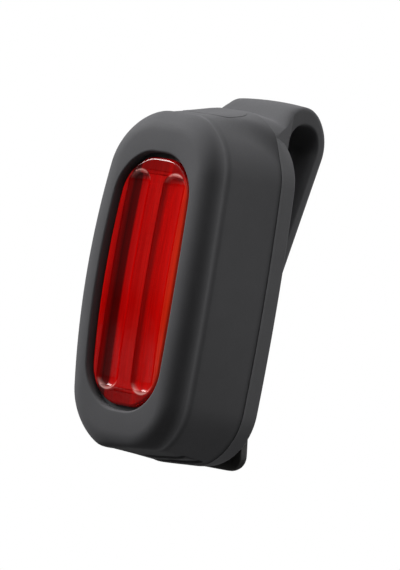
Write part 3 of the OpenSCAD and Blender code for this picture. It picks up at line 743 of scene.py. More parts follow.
@dataclass(frozen=True)
class BodyForm:
    """The outside of the rubber body as a family of rings."""

    half_w: float = 13.8
    half_h: float = 30.6
    depth: float = 23.6
    corner_r: float = 10.8
    band: float = 4.8
    band_taper: float = 0.5
    draft: float = 0.6
    front_r: float = 3.4
    crown_r: float = 260.0
    barrel_r: float = 200.0
    back_barrel: float = 0.45
    groove_w: float = 2.4
    saddle_h: float = 1.8
    saddle_l: float = 15.5
    saddle_power: float = 1.2
    saddle_front_w: float = 3.6
    saddle_back_w: float = 9.8
    saddle_edge: Point2 = (5.0, 2.6)
    flat_lift: float = 0.7
    flat_slope: Point2 = (0.1, 0.11)
    flat_bow: float = 0.0048
    flat_blend: float = 0.8
    flat_at: Point2 = (-2.5, -11.87)

    @property
    def front_y(self) -> float:
        """Returns the plane of the front edge."""
        return -self.depth

    @property
    def part_y(self) -> float:
        """Returns the plane of the parting line."""
        return -self.band

    @property
    def groove_y(self) -> float:
        """Returns the front edge of the groove."""
        return self.front_y + self.front_r

    @property
    def side_y(self) -> float:
        """Returns the back edge of the groove."""
        return self.groove_y + self.groove_w

    def crowned(self, y: float, z: float, share: float = 1.0) -> float:
        """Returns a depth as the front's crown draws it back at a height."""
        return y + share * z * z / (2.0 * self.crown_r)

    def saddle(self, x: float, y: float, z: float) -> float:
        """Finds how far the top rises towards the clip.

        Args:
            x: Place across the body.
            y: Depth.
            z: Height, which tells the top from the underside.

        Returns:
            The rise.
        """
        ahead = self.part_y - y
        along = clamp(1.0 - ahead / self.saddle_l if ahead >= 0.0 else 1.0 + ahead / self.band)
        spread = along**3 if ahead >= 0.0 else 1.0
        level = lerp(self.saddle_front_w, self.saddle_back_w, spread)
        edge = lerp(self.saddle_edge[0], self.saddle_edge[1], spread)
        rise = self.saddle_h * along**self.saddle_power * (1.0 - ease((abs(x) - level) / edge))
        return rise if z > 0.0 else 0.0

    def under(self, x: float, y: float, z: float) -> float:
        """Lays the underside's flat, which makes room for a fingernail at the flap.

        Args:
            x: Place across the body.
            y: Depth.
            z: Height of the plain outside.

        Returns:
            The height with the flat.
        """
        if z > 0.0:
            return z
        run = self.flat_at[1] - y
        flat = self.flat_lift - self.half_h + self.flat_slope[0] * (x - self.flat_at[0])
        flat = flat + self.flat_slope[1] * run - self.flat_bow * run * run
        return soft_max(z, flat, self.flat_blend)

    def barrel(self, y: float) -> float:
        """Returns the share of the barrel at a depth."""
        along = clamp((self.part_y - y) / (self.part_y - self.groove_y))
        return lerp(self.back_barrel, 1.0, along)

    def narrow(self, z: float, share: float) -> float:
        """Returns the factor by which the barrel narrows the outline at a height."""
        return 1.0 - share * z * z / (self.barrel_r * 2.0 * self.half_w)

    def ring(self, inset: float, y: float, crown: float = 0.0) -> Ring:
        """Makes one ring of the outside.

        Args:
            inset: How far the outline is drawn in.
            y: Depth of the ring at mid height.
            crown: Share of the front's crown.

        Returns:
            The ring's points.
        """
        points = []
        share = self.barrel(y)
        sizes = (self.half_w - inset, self.half_h - inset, self.corner_r - inset)
        for px, pz in rounded_outline(*sizes):
            x, depth = px * self.narrow(pz, share), self.crowned(y, pz, crown)
            points.append((x, depth, self.under(x, depth, pz) + self.saddle(x, depth, pz)))
        return points

    def surface(self, x: float, y: float, side: float) -> float:
        """Finds the height of the outside above or below a point.

        Args:
            x: Place across the body.
            y: Depth, between the groove and the parting line.
            side: 1 for the top, -1 for the underside.

        Returns:
            The height, with the saddle or the flat.
        """
        sag = self.half_h**2 / (2.0 * self.crown_r)
        along = clamp((self.part_y - y) / (self.part_y - self.side_y - sag))
        inset = self.draft * along
        share = self.barrel(y - sag * along)
        w, h, r = self.half_w - inset, self.half_h - inset, self.corner_r - inset
        z = h
        for _ in range(6):
            out = abs(x) / self.narrow(z, share) - (w - r)
            z = h if out <= 0.0 else h - r + math.sqrt(max(0.0, r * r - out * out))
        return self.under(x, y, side * z) + self.saddle(x, y, side * z)


@dataclass
class Jacket:
    """The silicone jacket around the sealed module."""

    form: BodyForm = field(default_factory=BodyForm)
    groove_d: float = 0.18
    back_edge_r: float = 0.6
    # Steps in depth across the parting seam, with how far each lies proud
    seam: tuple[Point2, ...] = (
        (0.15, -0.02), (0.06, 0.02), (0.0, 0.13), (-0.06, 0.02), (-0.15, -0.01)
    )
    seam_end: Point2 = (9.6, 1.0)
    seam_step: float = 0.04
    lip_r: float = 0.45
    land: float = 0.15
    window: Point3 = (8.85, 22.6, 7.5)
    window_barrel: float = 1.353
    window_wall: Point2 = (1.4, 0.8)
    nose: Point3 = (10.35, 24.35, 9.15)
    case: Point3 = (11.25, 27.55, 8.25)
    nose_y: float = -20.9
    shoulder_y: float = -18.6
    cover_y: float = -3.2
    slot_x: Point2 = (-5.8, 7.4)
    slot_w: float = 5.9
    slot_r: float = 0.5
    slot_cut: Point2 = (-33.0, -28.1)
    port_y: float = -8.93
    port_half: Point2 = (5.17, 1.93)
    port_r: float = 1.2
    port_cut: Point2 = (-33.0, -26.5)
    pad_y: float = -9.95
    pad_hole: Point3 = (5.3, 4.5, 3.3)
    pad_cut: Point2 = (26.5, 34.5)
    sharp: float = 38.0

    def window_ring(self, grow: float, y: float, crown: float) -> Ring:
        """Makes a ring of the lens window.

        Args:
            grow: How far the outline is let out.
            y: Depth at mid height.
            crown: Share of the front's crown.

        Returns:
            The ring's points.
        """
        w, h, r = (value + grow for value in self.window)
        return [
            (x * self.form.narrow(z, self.window_barrel), self.form.crowned(y, z, crown), z)
            for x, z in rounded_outline(w, h, r)
        ]

    def seam_point(self, plain: Point3, raised: Point3) -> Point3:
        """Finds a point of the seam, which dies out on the top where the clip's root begins.

        Args:
            plain: The point without the seam.
            raised: The point with the whole seam.

        Returns:
            The point between them.
        """
        start, run = self.seam_end
        share = ease((abs(plain[0]) - start) / run) if plain[2] > 0.0 else 1.0
        x, y, z = (lerp(a, b, share) for a, b in zip(plain, raised))
        return (x, y, z)

    def rings(self) -> list[Ring]:
        """Makes the rings from the back, over the outside, in through the window to the cover.

        Returns:
            The rings in order.
        """
        form = self.form
        rings: list[Ring] = []
        for back, inset in round_over(self.back_edge_r, 6):
            rings.append(form.ring(form.band_taper + inset, -back))
        for t in (k / 4.0 for k in range(1, 4)):
            depth = lerp(-self.back_edge_r, form.part_y, t)
            rings.append(form.ring(form.band_taper * (1.0 - t), depth))
        for step, proud in self.seam:
            plain = form.ring(0.0, form.part_y + step)
            raised = form.ring(-proud, form.part_y + step)
            rings.append([self.seam_point(p, q) for p, q in zip(plain, raised)])
        for t in (k / 12.0 for k in range(1, 13)):
            inset = max(self.seam_step, form.draft * t)
            rings.append(form.ring(inset, lerp(form.part_y, form.side_y, t), t))
        for t in (k / 10.0 for k in range(1, 10)):
            dip = self.groove_d * (0.5 - 0.5 * math.cos(2.0 * math.pi * t))
            rings.append(form.ring(form.draft + dip, lerp(form.side_y, form.groove_y, t), 1.0))
        reach = form.half_w - form.draft - self.window[0] - self.lip_r - self.land
        for c, s in quarter(14):
            inset = form.draft + reach * (1.0 - c)
            rings.append(form.ring(inset, form.groove_y - form.front_r * s, 1.0))
        for back, grow in round_over(self.lip_r, 6):
            rings.append(self.window_ring(grow, form.front_y + back, 1.0))
        wall, crown = self.window_wall
        rings.append(self.window_ring(0.0, form.front_y + wall, crown))
        rings.append(self.window_ring(0.0, self.nose_y, 0.0))
        rings += [flat_ring(self.nose, y) for y in (self.nose_y, self.shoulder_y)]
        rings += [flat_ring(self.case, y) for y in (self.shoulder_y, self.cover_y)]
        return rings

    def build(self) -> Obj:
        """Builds the jacket with its cuts for the button, the flap and the port.

        Returns:
            The jacket.
        """
        jacket = loft("jacket_skin", self.rings())
        left, right = self.slot_x
        middle = ((left + right) / 2.0, self.port_y)
        half = ((right - left) / 2.0, self.slot_w / 2.0)
        pad_w, pad_d, pad_r = self.pad_hole
        cuts = (
            ("pad_tool", (0.0, self.pad_y), (pad_w, pad_d), pad_r, self.pad_cut),
            ("slot_tool", middle, half, self.slot_r, self.slot_cut),
            ("port_tool", (0.0, self.port_y), self.port_half, self.port_r, self.port_cut),
        )
        for cut in cuts:
            subtract(jacket, plate_tool(*cut))
        smooth_by_angle(jacket, self.sharp)
        dress(jacket, SILICONE)
        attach(jacket, Body.HOLDER.value)
        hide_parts("rubber_sleeve")
        return jacket


@dataclass
class Clip:
    """The strap that grows out of the jacket and runs down the back, with its toe and spring."""

    form: BodyForm = field(default_factory=BodyForm)
    half_w: float = 7.8
    thick: float = 3.2
    crown: float = 0.35
    edge_r: float = 0.7
    low_edge: float = 0.45
    inner_edge: Point2 = (1.4, 0.8)
    inner_share: float = 0.45
    outer_edge: float = 1.4
    outer_share: float = 0.9
    loop_y: float = 5.85
    loop_z: float = 27.9
    loop_r: float = 3.85
    loop_gap: float = 2.0
    loop_soft: float = 60.0
    lean: float = 14.9
    nip_r: float = 30.0
    nip_gap: float = 0.35
    lip: float = 10.0
    lip_l: float = 13.4
    lip_steps: Point2 = (0.8, 1.6)
    toe_l: float = 11.0
    toe_r: float = 3.0
    toe_thin: float = 0.9
    toe_steps: tuple[float, ...] = (
        11.0, 10.85, 9.5, 8.0, 6.0, 4.0, 3.0, 2.6, 2.2,
        1.8, 1.5, 1.2, 0.9, 0.65, 0.45, 0.28, 0.14, 0.05,
    )
    # The root: its flare, the slopes of its ridge and edges, and the runs over which it changes
    flare: float = 2.6
    flare_l: float = 7.0
    drop: float = 1.3
    foot: float = 9.0
    start_gap: float = 0.05
    sink: float = 0.03
    ridge_fall: float = 0.2
    ridge_blend: float = 2.4
    edge_rise: float = 0.36
    edge_blend: float = 1.5
    bulge: Point3 = (2.6, 7.0, 9.0)
    leave_l: float = 5.6
    level_run: Point2 = (6.4, 4.0)
    spring: Point2 = (9.0, 0.5)
    spring_root: float = 4.0
    spring_tip: float = 4.0
    bend_start: Point3 = (0.0, 5.85, 32.8)
    bend_end: Point3 = (0.0, 10.9, 30.7)
    across: int = 40
    flank: int = 4
    sharp: float = 46.0

    @property
    def mid_r(self) -> float:
        """Returns the radius of the strap's middle line in the loop."""
        return self.loop_r + self.thick / 2.0

    @property
    def spots(self) -> list[float]:
        """Returns the places of a section's points across it, from -1 to 1, closer at its edges."""
        return [turn(90.0 * (2.0 * k / self.across - 1.0))[1] for k in range(self.across + 1)]

    def loop_top(self, y: float, r: float) -> float:
        """Returns the height of a circle round the loop's middle at a depth."""
        return self.loop_z + math.sqrt(max(0.0, r * r - (y - self.loop_y) ** 2))

    def section(self, hw: float, top: list[float], low: float, edge: Point2) -> list[Point2]:
        """Makes a closed cross-section from a top curve and a level underside.

        Args:
            hw: Half width.
            top: Heights of the top curve at the section's spots, from left to right.
            low: Height of the underside.
            edge: Width and depth over which the lower edges round off.

        Returns:
            The points, along the top and back along the underside.
        """
        upper = [(hw * t, z) for t, z in zip(self.spots, top)]
        lower = []
        for t in reversed(self.spots):
            over = max(0.0, abs(hw * t) - (hw - edge[0])) / edge[0]
            lower.append((hw * t, low + edge[1] * (1.0 - math.sqrt(max(0.0, 1.0 - over * over)))))
        shares = [k / (self.flank + 1) for k in range(1, self.flank + 1)]
        right = [(hw, lerp(upper[-1][1], lower[0][1], t)) for t in shares]
        left = [(-hw, lerp(lower[-1][1], upper[0][1], t)) for t in shares]
        return upper + right + lower + left

    def band_top(self, hw: float, far: float, r: float, crown: float) -> list[float]:
        """Makes the top curve of the plain strap: crowned, with rounded edges.

        Args:
            hw: Half width.
            far: Height of the top without its crown.
            r: Radius of the edges.
            crown: Height of the crown.

        Returns:
            The heights at the section's spots.
        """
        heights = []
        for x in (abs(hw * t) for t in self.spots):
            over = max(0.0, x - (hw - r))
            bow = crown * max(0.0, 1.0 - (x / max(0.1, hw - r)) ** 2)
            heights.append(far + bow - r + math.sqrt(max(0.0, r * r - over * over)))
        return heights

    def root_ring(self, y: float) -> Ring:
        """Makes a ring of the root, which rises from the saddle of the body into the loop.

        Args:
            y: Depth of the upright section.

        Returns:
            The ring's points.
        """
        form = self.form
        ahead = y - form.part_y
        out_r = self.loop_r + self.thick
        hw = self.half_w + self.flare * (1.0 - clamp(ahead / self.flare_l))
        saddle = form.half_h + form.saddle_h - self.ridge_fall * ahead
        ridge = soft_max(saddle, self.loop_top(y, out_r) + self.crown, self.ridge_blend)
        slope = form.half_h - self.drop + self.edge_rise * ahead
        edge = soft_max(slope, self.loop_top(y, out_r - self.edge_r), self.edge_blend)
        if y < self.loop_gap:
            low = self.loop_z - self.foot * math.sqrt(1.0 - max(0.0, y) / self.loop_gap)
        else:
            low = self.loop_top(y, self.loop_r)
        power = self.bulge[0] + self.bulge[1] * ease(ahead / self.bulge[2])
        share = ease(ahead / self.leave_l)
        level = ease((ahead - self.level_run[0]) / self.level_run[1])
        plain = self.band_top(hw, ridge - self.crown, self.edge_r, self.crown)
        top = []
        for t, flat in zip(self.spots, plain):
            body = form.surface(hw * t, form.part_y, 1.0) - self.sink
            strap = lerp(ridge - (ridge - edge) * abs(t) ** power, flat, level)
            top.append(lerp(body, strap, share))
        return [(x, y, z) for x, z in self.section(hw, top, low, (self.low_edge, self.low_edge))]

    def lay(self, station: Station, points: list[Point2]) -> Ring:
        """Lays a cross-section over a station of the middle line.

        Args:
            station: The station.
            points: The section, across the strap and along the normal.

        Returns:
            The ring's points.
        """
        y, z, angle = station
        c, s = turn(angle)
        return [(x, y + q * c, z + q * s) for x, q in points]

    def strap_ring(self, station: Station, hw: float, thin: float = 0.0, soft: float = 1.0) -> Ring:
        """Makes a ring of the plain strap at a station of its middle line.

        Args:
            station: The station.
            hw: Half width.
            thin: How far each face is drawn in.
            soft: Share of the wide rounding on the edges.

        Returns:
            The ring's points.
        """
        half = self.thick / 2.0 - thin
        r = min(lerp(self.edge_r, self.outer_edge, soft), self.outer_share * half)
        edge = (
            lerp(self.low_edge, min(self.inner_edge[0], self.inner_share * hw), soft),
            lerp(self.low_edge, min(self.inner_edge[1], half), soft),
        )
        top = self.band_top(hw, half, r, self.crown * half / (self.thick / 2.0))
        return self.lay(station, self.section(hw, top, -half, edge))

    def loop_station(self, angle: float) -> Station:
        """Returns the station of the loop at an angle."""
        c, s = turn(angle)
        return (self.loop_y + self.mid_r * c, self.loop_z + self.mid_r * s, angle)

    def nip_centre(self) -> Point2:
        """Finds the middle of the bend at the nip.

        Returns:
            Its depth and height.
        """
        top_y, top_z, _ = self.loop_station(-self.lean)
        c, s = turn(self.lean)
        run = (top_y - self.nip_r * (1.0 - c) - self.thick / 2.0 - self.nip_gap) / s
        return (top_y - run * s + self.nip_r * c, top_z - run * c - self.nip_r * s)

    def nip_station(self, angle: float) -> Station:
        """Finds the station of the bend at the nip.

        Args:
            angle: Angle round the bend.

        Returns:
            The station.
        """
        y, z = self.nip_centre()
        c, s = turn(angle)
        return (y - self.nip_r * c, z - self.nip_r * s, angle)

    def lip_station(self, run: float) -> Station:
        """Finds a station of the straight lip.

        Args:
            run: Distance past the bend.

        Returns:
            The station.
        """
        y, z, _ = self.nip_station(self.lip)
        c, s = turn(self.lip)
        return (y + run * s, z - run * c, self.lip)

    def arm_stations(self) -> list[Station]:
        """Makes the stations from the crown of the loop to the end of the bend.

        Returns:
            The stations in order.
        """
        stations = [self.loop_station(lerp(90.0, -self.lean, k / 32.0)) for k in range(33)]
        a, b = stations[-1], self.nip_station(-self.lean)
        shares = [k / 14.0 for k in range(1, 14)]
        stations += [(lerp(a[0], b[0], t), lerp(a[1], b[1], t), a[2]) for t in shares]
        stations += [self.nip_station(lerp(-self.lean, self.lip, k / 16.0)) for k in range(17)]
        return stations

    def bend(self, piece: Obj) -> None:
        """Bakes a piece's placement into its mesh; the piece does not bend.

        Args:
            piece: The piece.
        """
        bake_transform(piece)

    def build_strap(self) -> Obj:
        """Builds root, loop and arm as one skin.

        Returns:
            The strap.
        """
        first = self.form.part_y + self.start_gap
        depths = [lerp(first, 0.0, k / 12.0) for k in range(12)]
        depths += [self.loop_gap * s for _, s in quarter(16)]
        depths += [self.loop_y - self.loop_r * c for c, _ in quarter(18)[1:-1]]
        rings = [self.root_ring(y) for y in depths]
        for station in self.arm_stations():
            past = ease((90.0 - station[2]) / self.loop_soft)
            soft = 1.0 if station[1] < self.loop_z else past
            rings.append(self.strap_ring(station, self.half_w, soft=soft))
        for run in (*self.lip_steps, self.lip_l - self.toe_l):
            rings.append(self.strap_ring(self.lip_station(run), self.half_w))
        strap = loft("clip_strap", rings, self.sharp)
        dress(strap, SILICONE)
        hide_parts("clip_arm")
        self.bend(strap)
        return strap

    def build_toe(self) -> Obj:
        """Builds the black toe at the end of the arm.

        Returns:
            The toe.
        """
        rings = []
        half = self.thick / 2.0
        for left in self.toe_steps:
            inset = self.toe_r - math.sqrt(self.toe_r**2 - max(0.0, self.toe_r - left) ** 2)
            thin = self.toe_thin * (half - math.sqrt(half**2 - max(0.0, half - left) ** 2))
            station = self.lip_station(self.lip_l - left)
            rings.append(self.strap_ring(station, self.half_w - inset, thin))
        toe = loft("clip_toe_skin", rings, self.sharp)
        dress(toe, TOE_RUBBER)
        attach(toe, Body.CLIP.value)
        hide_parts("clip_toe")
        return toe

    def build_spring(self) -> Obj:
        """Builds the spring strip inside the strap.

        Returns:
            The strip.
        """
        root = self.loop_station(180.0)
        stations = [(root[0], root[1] - self.spring_root, 180.0)]
        stations += [self.loop_station(180.0 - 90.0 * k / 12.0) for k in range(12)]
        stations += self.arm_stations()
        stations.append(self.lip_station(self.lip_l - self.toe_l + self.spring_tip))
        w, t = self.spring[0] / 2.0, self.spring[1] / 2.0
        flat = [(-w, t), (0.0, t), (w, t), (w, -t), (0.0, -t), (-w, -t)]
        strip = loft("spring_strip", [self.lay(station, flat) for station in stations])
        dress(strip, SPRING)
        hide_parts("clip_spring")
        self.bend(strip)
        return strip


@dataclass
class LensUnit:
    """The red lens with its two long flutes."""

    form: BodyForm = field(default_factory=BodyForm)
    outline: Point3 = (8.05, 21.75, 6.7)
    flange: Point3 = (9.4, 23.4, 8.2)
    barrel_r: float = 265.0
    front_y: float = -22.75
    flank: Point2 = (1.2, 0.7)
    flange_y: float = -19.5
    back_y: float = -18.3
    edge_r: float = 0.5
    border: float = 0.1
    strips: int = 18
    strip_rim: float = 0.2
    flute_r: float = 2.4
    flute_deep: float = 1.0
    flute_x: float = 3.95
    flute_hh: float = 16.95
    flute_steps: int = 10
    rim_bevel: float = 0.2
    rim_angle: float = 34.0
    rim_y: float = -20.0
    sharp: float = 30.0

    def ring(self, inset: float, y: float, crown: float) -> Ring:
        """Makes a ring of the lens body.

        Args:
            inset: How far the outline is drawn in.
            y: Depth at mid height.
            crown: Share of the crown.

        Returns:
            The ring's points.
        """
        w, h, r = self.outline
        points = rounded_outline(w - inset, h - inset, max(0.05, r - inset))
        return [
            (x * (1.0 - z * z / (self.barrel_r * 2.0 * w)), self.form.crowned(y, z, crown), z)
            for x, z in points
        ]

    def flute(self, x: float) -> Obj:
        """Makes the rod that cuts one flute.

        Args:
            x: Place of the flute across the lens.

        Returns:
            The rod, curved as the crown is.
        """
        deselect_all()
        radius = self.flute_r * MM
        bpy.ops.mesh.primitive_uv_sphere_add(segments=64, ring_count=32, radius=radius)
        rod = bpy.context.object
        bpy.ops.object.mode_set(mode="EDIT")
        for sign in (1.0, -1.0):
            select_faces(rod, lambda face: sign * face.calc_center_median().z > 0.0)
            move = (0.0, 0.0, sign * self.flute_hh * MM / self.flute_steps)
            for _ in range(self.flute_steps):
                bpy.ops.mesh.extrude_region_move(TRANSFORM_OT_translate={"value": move})
        mesh = bmesh.from_edit_mesh(rod.data)
        for vert in mesh.verts:
            depth = self.form.crowned(self.front_y, vert.co.z / MM)
            vert.co.x += x * MM
            vert.co.y *= self.flute_deep / self.flute_r
            vert.co.y += depth * MM
        bmesh.update_edit_mesh(rod.data)
        bpy.ops.mesh.select_mode(type="VERT")
        bpy.ops.mesh.select_all(action="SELECT")
        bpy.ops.mesh.remove_doubles(threshold=1e-7)
        bpy.ops.mesh.normals_make_consistent(inside=False)
        bpy.ops.object.mode_set(mode="OBJECT")
        return rod

    def wide_front(self, face: bmesh.types.BMFace) -> bool:
        """Says whether a face has more than four corners and lies ahead of the flange."""
        return len(face.verts) > 4 and face.calc_center_median().y < self.flange_y * MM

    def slice_front(self, lens: Obj) -> None:
        """Cuts the front face into level strips, so that it follows the crown.

        Args:
            lens: The plain lens.
        """
        make_active(lens)
        bpy.ops.object.mode_set(mode="EDIT")
        top = self.outline[1] - self.edge_r - self.strip_rim
        for k in range(-self.strips, self.strips + 1):
            select_faces(lens, self.wide_front)
            level = (0.0, 0.0, top * k / self.strips * MM)
            bpy.ops.mesh.bisect(plane_co=level, plane_no=(0.0, 0.0, 1.0))
        bpy.ops.object.mode_set(mode="OBJECT")

    def soften(self, lens: Obj) -> None:
        """Breaks the sharp rims of the flutes with a small bevel and splits the faces round them.

        Args:
            lens: The lens with its flutes.
        """
        make_active(lens)
        bpy.ops.object.mode_set(mode="EDIT")
        bpy.ops.mesh.select_mode(type="EDGE")
        bpy.ops.mesh.select_all(action="DESELECT")
        least = math.radians(self.rim_angle)
        for edge in bmesh.from_edit_mesh(lens.data).edges:
            sharp = len(edge.link_faces) == 2 and edge.calc_face_angle(0.0) > least
            edge.select = sharp and max(v.co.y for v in edge.verts) < self.rim_y * MM
        bmesh.update_edit_mesh(lens.data)
        bpy.ops.mesh.bevel(offset=self.rim_bevel * MM, segments=3, profile=0.5, affect="EDGES")
        select_faces(lens, self.wide_front)
        bpy.ops.mesh.quads_convert_to_tris(quad_method="BEAUTY", ngon_method="BEAUTY")
        bpy.ops.object.mode_set(mode="OBJECT")

    def shade(self, lens: Obj) -> None:
        """Shades the lens smooth, with its large faces level up to their rims.

        Args:
            lens: The finished mesh.
        """
        smooth_by_angle(lens, self.sharp)
        bpy.ops.object.modifier_add(type="WEIGHTED_NORMAL")
        level = lens.modifiers[-1]
        level.keep_sharp = True
        level.weight = 100
        bpy.ops.object.modifier_apply(modifier=level.name)

    def build(self) -> Obj:
        """Builds the lens.

        Returns:
            The lens.
        """
        rings = [flat_ring(self.flange, y) for y in (self.back_y, self.flange_y)]
        rings.append(self.ring(0.0, self.flange_y, 0.0))
        rings.append(self.ring(0.0, self.front_y + self.flank[0], self.flank[1]))
        for inset, back in round_over(self.edge_r):
            rings.append(self.ring(inset, self.front_y + back, 1.0))
        rings.append(self.ring(self.edge_r + self.border, self.front_y, 1.0))
        lens = loft("lens_red_body", rings)
        self.slice_front(lens)
        for sign in (-1.0, 1.0):
            subtract(lens, self.flute(sign * self.flute_x))
        self.soften(lens)
        self.shade(lens)
        dress(lens, LENS)
        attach(lens, Body.HOLDER.value)
        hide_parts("lens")
        return lens


@dataclass
class ButtonPad:
    """The soft pad over the power switch, flush with the top of the jacket."""

    form: BodyForm = field(default_factory=BodyForm)
    centre_y: float = -9.95
    half: Point2 = (5.28, 4.48)
    corner_r: float = 3.28
    proud: float = 0.06
    edge_r: float = 0.06
    skirt: float = 0.9
    low_z: float = 28.3
    insets: tuple[float, ...] = (0.8, 1.4, 2.1, 2.8, 3.5, 4.1)

    def ring(self, inset: float, drop: float) -> Ring:
        """Makes a ring that follows the top of the body.

        Args:
            inset: How far the outline is drawn in.
            drop: How far it lies below the pad's top.

        Returns:
            The ring's points.
        """
        w, d, r = (value - inset for value in (*self.half, self.corner_r))
        outline = [(x, self.centre_y + y) for x, y in rounded_outline(w, d, max(0.1, r), 10, 5, 5)]
        return [(x, y, self.form.surface(x, y, 1.0) + self.proud - drop) for x, y in outline]

    def build(self) -> Obj:
        """Builds the pad.

        Returns:
            The pad.
        """
        foot = [(x, y, self.low_z) for x, y, _ in self.ring(0.0, 0.0)]
        rings = [foot, self.ring(0.0, self.skirt)]
        rings += [self.ring(inset, drop) for inset, drop in round_over(self.edge_r)]
        rings += [self.ring(inset, 0.0) for inset in self.insets]
        pad = loft("power_pad", rings)
        dress(pad, SILICONE)
        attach(pad, Body.BUTTON.value)
        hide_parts("power_button")
        return pad


@dataclass
class PortFlap:
    """The rubber tongue over the charging port, with the plug on its inner face."""

    form: BodyForm = field(default_factory=BodyForm)
    port_y: float = -8.93
    reach: Point2 = (-5.8, 7.0)
    half_w: float = 2.45
    corner_r: float = 0.7
    floor_z: float = -28.2
    plug: Point3 = (3.5, 0.95, 0.5)
    plug_tip: Point3 = (0.94, 0.85, 0.2)
    plug_z: float = -26.5
    edge_r: float = 0.25
    curl: float = 0.36
    curl_run: Point2 = (-3.5, 5.0)
    insets: tuple[float, ...] = (0.7, 1.2, 1.8, 2.3)

    def face_ring(self, inset: float, lift: float) -> Ring:
        """Makes a ring that follows the tongue's face, which curls out at its front edge.

        Args:
            inset: How far the outline is drawn in.
            lift: How far it lies inside the face.

        Returns:
            The ring's points.
        """
        start, run = self.curl_run
        ring = []
        for x, y in self.outline(inset):
            free = ease((x - start) / run)
            face = self.form.surface(x, y, -1.0)
            face = face + self.curl * free * (y - self.port_y) / self.half_w
            ring.append((x, y, face + lift))
        return ring

    def outline(self, inset: float) -> list[Point2]:
        """Makes the tongue's outline.

        Args:
            inset: How far it is drawn in.

        Returns:
            Its points in X and Y.
        """
        left, right = self.reach
        middle, half = (left + right) / 2.0, (right - left) / 2.0
        r = max(0.1, self.corner_r - inset)
        points = rounded_outline(half - inset, self.half_w - inset, r, 8, 4, 16)
        return [(middle + x, self.port_y + y) for x, y in points]

    def build(self) -> Obj:
        """Builds the tongue from its plug out to its face.

        Returns:
            The tongue.
        """
        plug = rounded_outline(*self.plug, 8, 4, 16)
        across, along, tip = self.plug_tip
        rings = [
            [(across * x, self.port_y + along * y, self.plug_z) for x, y in plug],
            [(x, self.port_y + y, self.plug_z - tip) for x, y in plug],
            [(x, self.port_y + y, self.floor_z) for x, y in plug],
            [(x, y, self.floor_z) for x, y in self.outline(0.0)],
        ]
        rings += [self.face_ring(inset, lift) for inset, lift in round_over(self.edge_r)]
        rings += [self.face_ring(inset, 0.0) for inset in self.insets]
        flap = loft("port_tongue", rings)
        dress(flap, SILICONE)
        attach(flap, Body.FLAP.value)
        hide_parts("port_flap")
        return flap


@dataclass
class Works:
    """The pieces inside the jacket, which keep their CAD solids."""

    nodes: dict[str, Obj]

    def dress(self) -> int:
        """Gives every CAD node its finish.

        Returns:
            The number of nodes dressed.
        """
        for name, obj in self.nodes.items():
            material = NODE_FINISH[name].material()
            if not obj.material_slots:
                obj.data.materials.append(material)
            for place in obj.material_slots:
                place.material = material
        return len(self.nodes)


@dataclass
class Lamp:
    """A soft box that faces the light, placed and sized in metres."""

    name: str
    place: Point3
    size: Point2
    power: float

    def build(self, target: Vector) -> Obj:
        """Adds the lamp.

        Args:
            target: Point that it faces.

        Returns:
            The lamp.
        """
        data = bpy.data.lights.new(self.name, "AREA")
        data.shape = "RECTANGLE"
        data.size, data.size_y = self.size
        data.energy = self.power
        lamp = bpy.data.objects.new(self.name, data)
        bpy.context.scene.collection.objects.link(lamp)
        lamp.location = self.place
        lamp.rotation_euler = (target - Vector(self.place)).to_track_quat("-Z", "Y").to_euler()
        return lamp


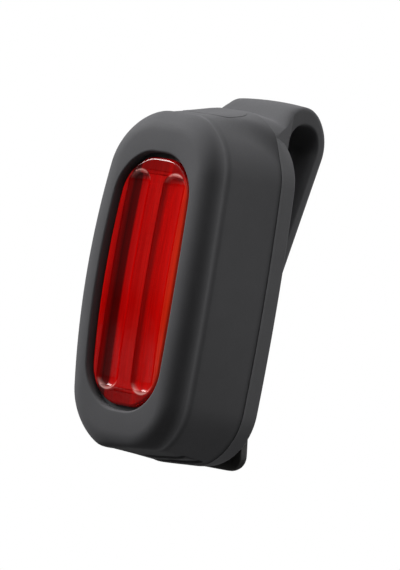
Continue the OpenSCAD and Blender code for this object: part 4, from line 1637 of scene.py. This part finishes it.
@dataclass
class Studio:
    """Camera, lamps, white surround and floor, in metres."""

    azimuth: float = 40.0
    roll: float = 9.5
    distance: float = 1.2
    aim: Point3 = (-0.00303, -0.00254, 0.001085)
    frame_h: float = 0.1002
    sensor: float = 24.0
    clip: Point2 = (0.05, 50.0)
    floor_z: float = -0.078
    floor_r: float = 6.0
    ambient: float = 0.09
    room: Point2 = (0.12, 0.9)
    room_rise: Point2 = (0.05, 0.85)
    glow: float = 0.86
    glow_run: Point2 = (0.08, 0.45)
    paper: float = 0.12
    boxes: tuple[Lamp, ...] = (
        Lamp("top_box", (0.02, -0.10, 0.80), (0.8, 0.8), 5.8),
        Lamp("left_box", (-0.78, -0.62, 0.60), (0.5, 0.5), 17.0),
        Lamp("back_box", (0.12, 0.85, 0.55), (0.4, 0.5), 1.0),
        Lamp("right_box", (0.50, 0.76, 0.06), (0.3, 0.4), 2.9),
    )

    def camera(self) -> Obj:
        """Adds the camera at the photograph's angle.

        Returns:
            The camera.
        """
        across, along = turn(self.azimuth)
        level, tilt = turn(self.roll)
        right = Vector((across, along, 0.0))
        back = Vector((along, -across, 0.0))
        up = Vector((0.0, 0.0, 1.0))
        x_axis = right * level + up * tilt
        y_axis = up * level - right * tilt
        data = bpy.data.cameras.new("photo_camera")
        data.sensor_fit = "VERTICAL"
        data.sensor_height = self.sensor
        data.lens = self.sensor * self.distance / self.frame_h
        data.clip_start, data.clip_end = self.clip
        camera = bpy.data.objects.new("photo_camera", data)
        bpy.context.scene.collection.objects.link(camera)
        place = Vector(self.aim) + back * self.distance
        turned = Matrix((x_axis, y_axis, back)).transposed().to_4x4()
        camera.matrix_world = Matrix.Translation(place) @ turned
        bpy.context.scene.camera = camera
        return camera

    def surround(self) -> None:
        """Makes the world white to the eye, a bright-topped room in reflections, dim as a light."""
        world = bpy.data.worlds.new("white_surround")
        bpy.context.scene.world = world
        tree = empty_tree(world)
        path = add_node(tree, "LightPath")
        place = add_node(tree, "TexCoord")
        split = add_node(tree, "SeparateXYZ", {"Vector": place.outputs["Generated"]})
        room = add_node(tree, "MapRange", {
            "Value": split.outputs["Z"],
            "From Min": self.room_rise[0], "From Max": self.room_rise[1],
            "To Min": self.room[0], "To Max": self.room[1],
        }, interpolation_type="SMOOTHSTEP")
        lit = add_node(tree, "Mix", {0: path.outputs["Is Glossy Ray"], 2: self.ambient, 3: room})
        seen = add_node(tree, "Math", {
            0: path.outputs["Is Camera Ray"], 1: path.outputs["Is Transmission Ray"],
        }, operation="MAXIMUM")
        level = add_node(tree, "Mix", {0: seen, 2: lit, 3: 1.0})
        shade = add_node(tree, "Background", {"Color": WHITE, "Strength": level})
        add_node(tree, "OutputWorld", {"Surface": shade})

    def floor(self) -> Obj:
        """Adds the pale floor, which keeps the shadow.

        Returns:
            The floor.
        """
        deselect_all()
        bpy.ops.mesh.primitive_circle_add(
            vertices=96, radius=self.floor_r, fill_type="NGON", location=(0.0, 0.0, self.floor_z)
        )
        floor = bpy.context.object
        floor.name = "studio_floor"
        # Matt paper: plain white that fades into the surround, with a faint shadow
        material = bpy.data.materials.new("paper_matt_white")
        tree = empty_tree(material)
        path = add_node(tree, "LightPath")
        place = add_node(tree, "TexCoord")
        away = add_node(tree, "VectorMath", {0: place.outputs["Object"]}, operation="LENGTH")
        fade = add_node(tree, "MapRange", {
            "Value": away.outputs["Value"],
            "From Min": self.glow_run[0], "From Max": self.glow_run[1],
            "To Min": self.glow, "To Max": 1.0,
        }, interpolation_type="SMOOTHSTEP")
        paper = add_node(tree, "BsdfDiffuse", {"Color": (self.paper, self.paper, self.paper, 1.0)})
        glow = add_node(tree, "Emission", {"Color": WHITE, "Strength": 1.0})
        seen = {0: path.outputs["Is Camera Ray"], 1: fade}
        share = add_node(tree, "Math", seen, operation="MULTIPLY")
        mixed = add_node(tree, "MixShader", {0: share, 1: paper, 2: glow})
        add_node(tree, "OutputMaterial", {"Surface": mixed})
        floor.data.materials.append(material)
        return floor

    def build(self) -> None:
        """Sets up the whole studio."""
        bpy.context.scene.view_settings.view_transform = "Standard"
        self.camera()
        for box in self.boxes:
            box.build(Vector((0.0, 0.0, 0.0)))
        self.surround()
        self.floor()


def main() -> None:
    """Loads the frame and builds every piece."""
    logging.basicConfig(level=logging.INFO, format="%(name)s: %(message)s")
    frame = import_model()
    deselect_all()
    LOG.info("dressed %d CAD nodes", Works(frame["nodes"]).dress())
    clip = Clip()
    makers = (
        Jacket().build,
        clip.build_strap,
        clip.build_toe,
        clip.build_spring,
        LensUnit().build,
        ButtonPad().build,
        PortFlap().build,
    )
    for make in makers:
        piece = make()
        LOG.info("built %s with %d faces", piece.name, len(piece.data.polygons))
    Studio().build()


if __name__ == "__main__":
    main()
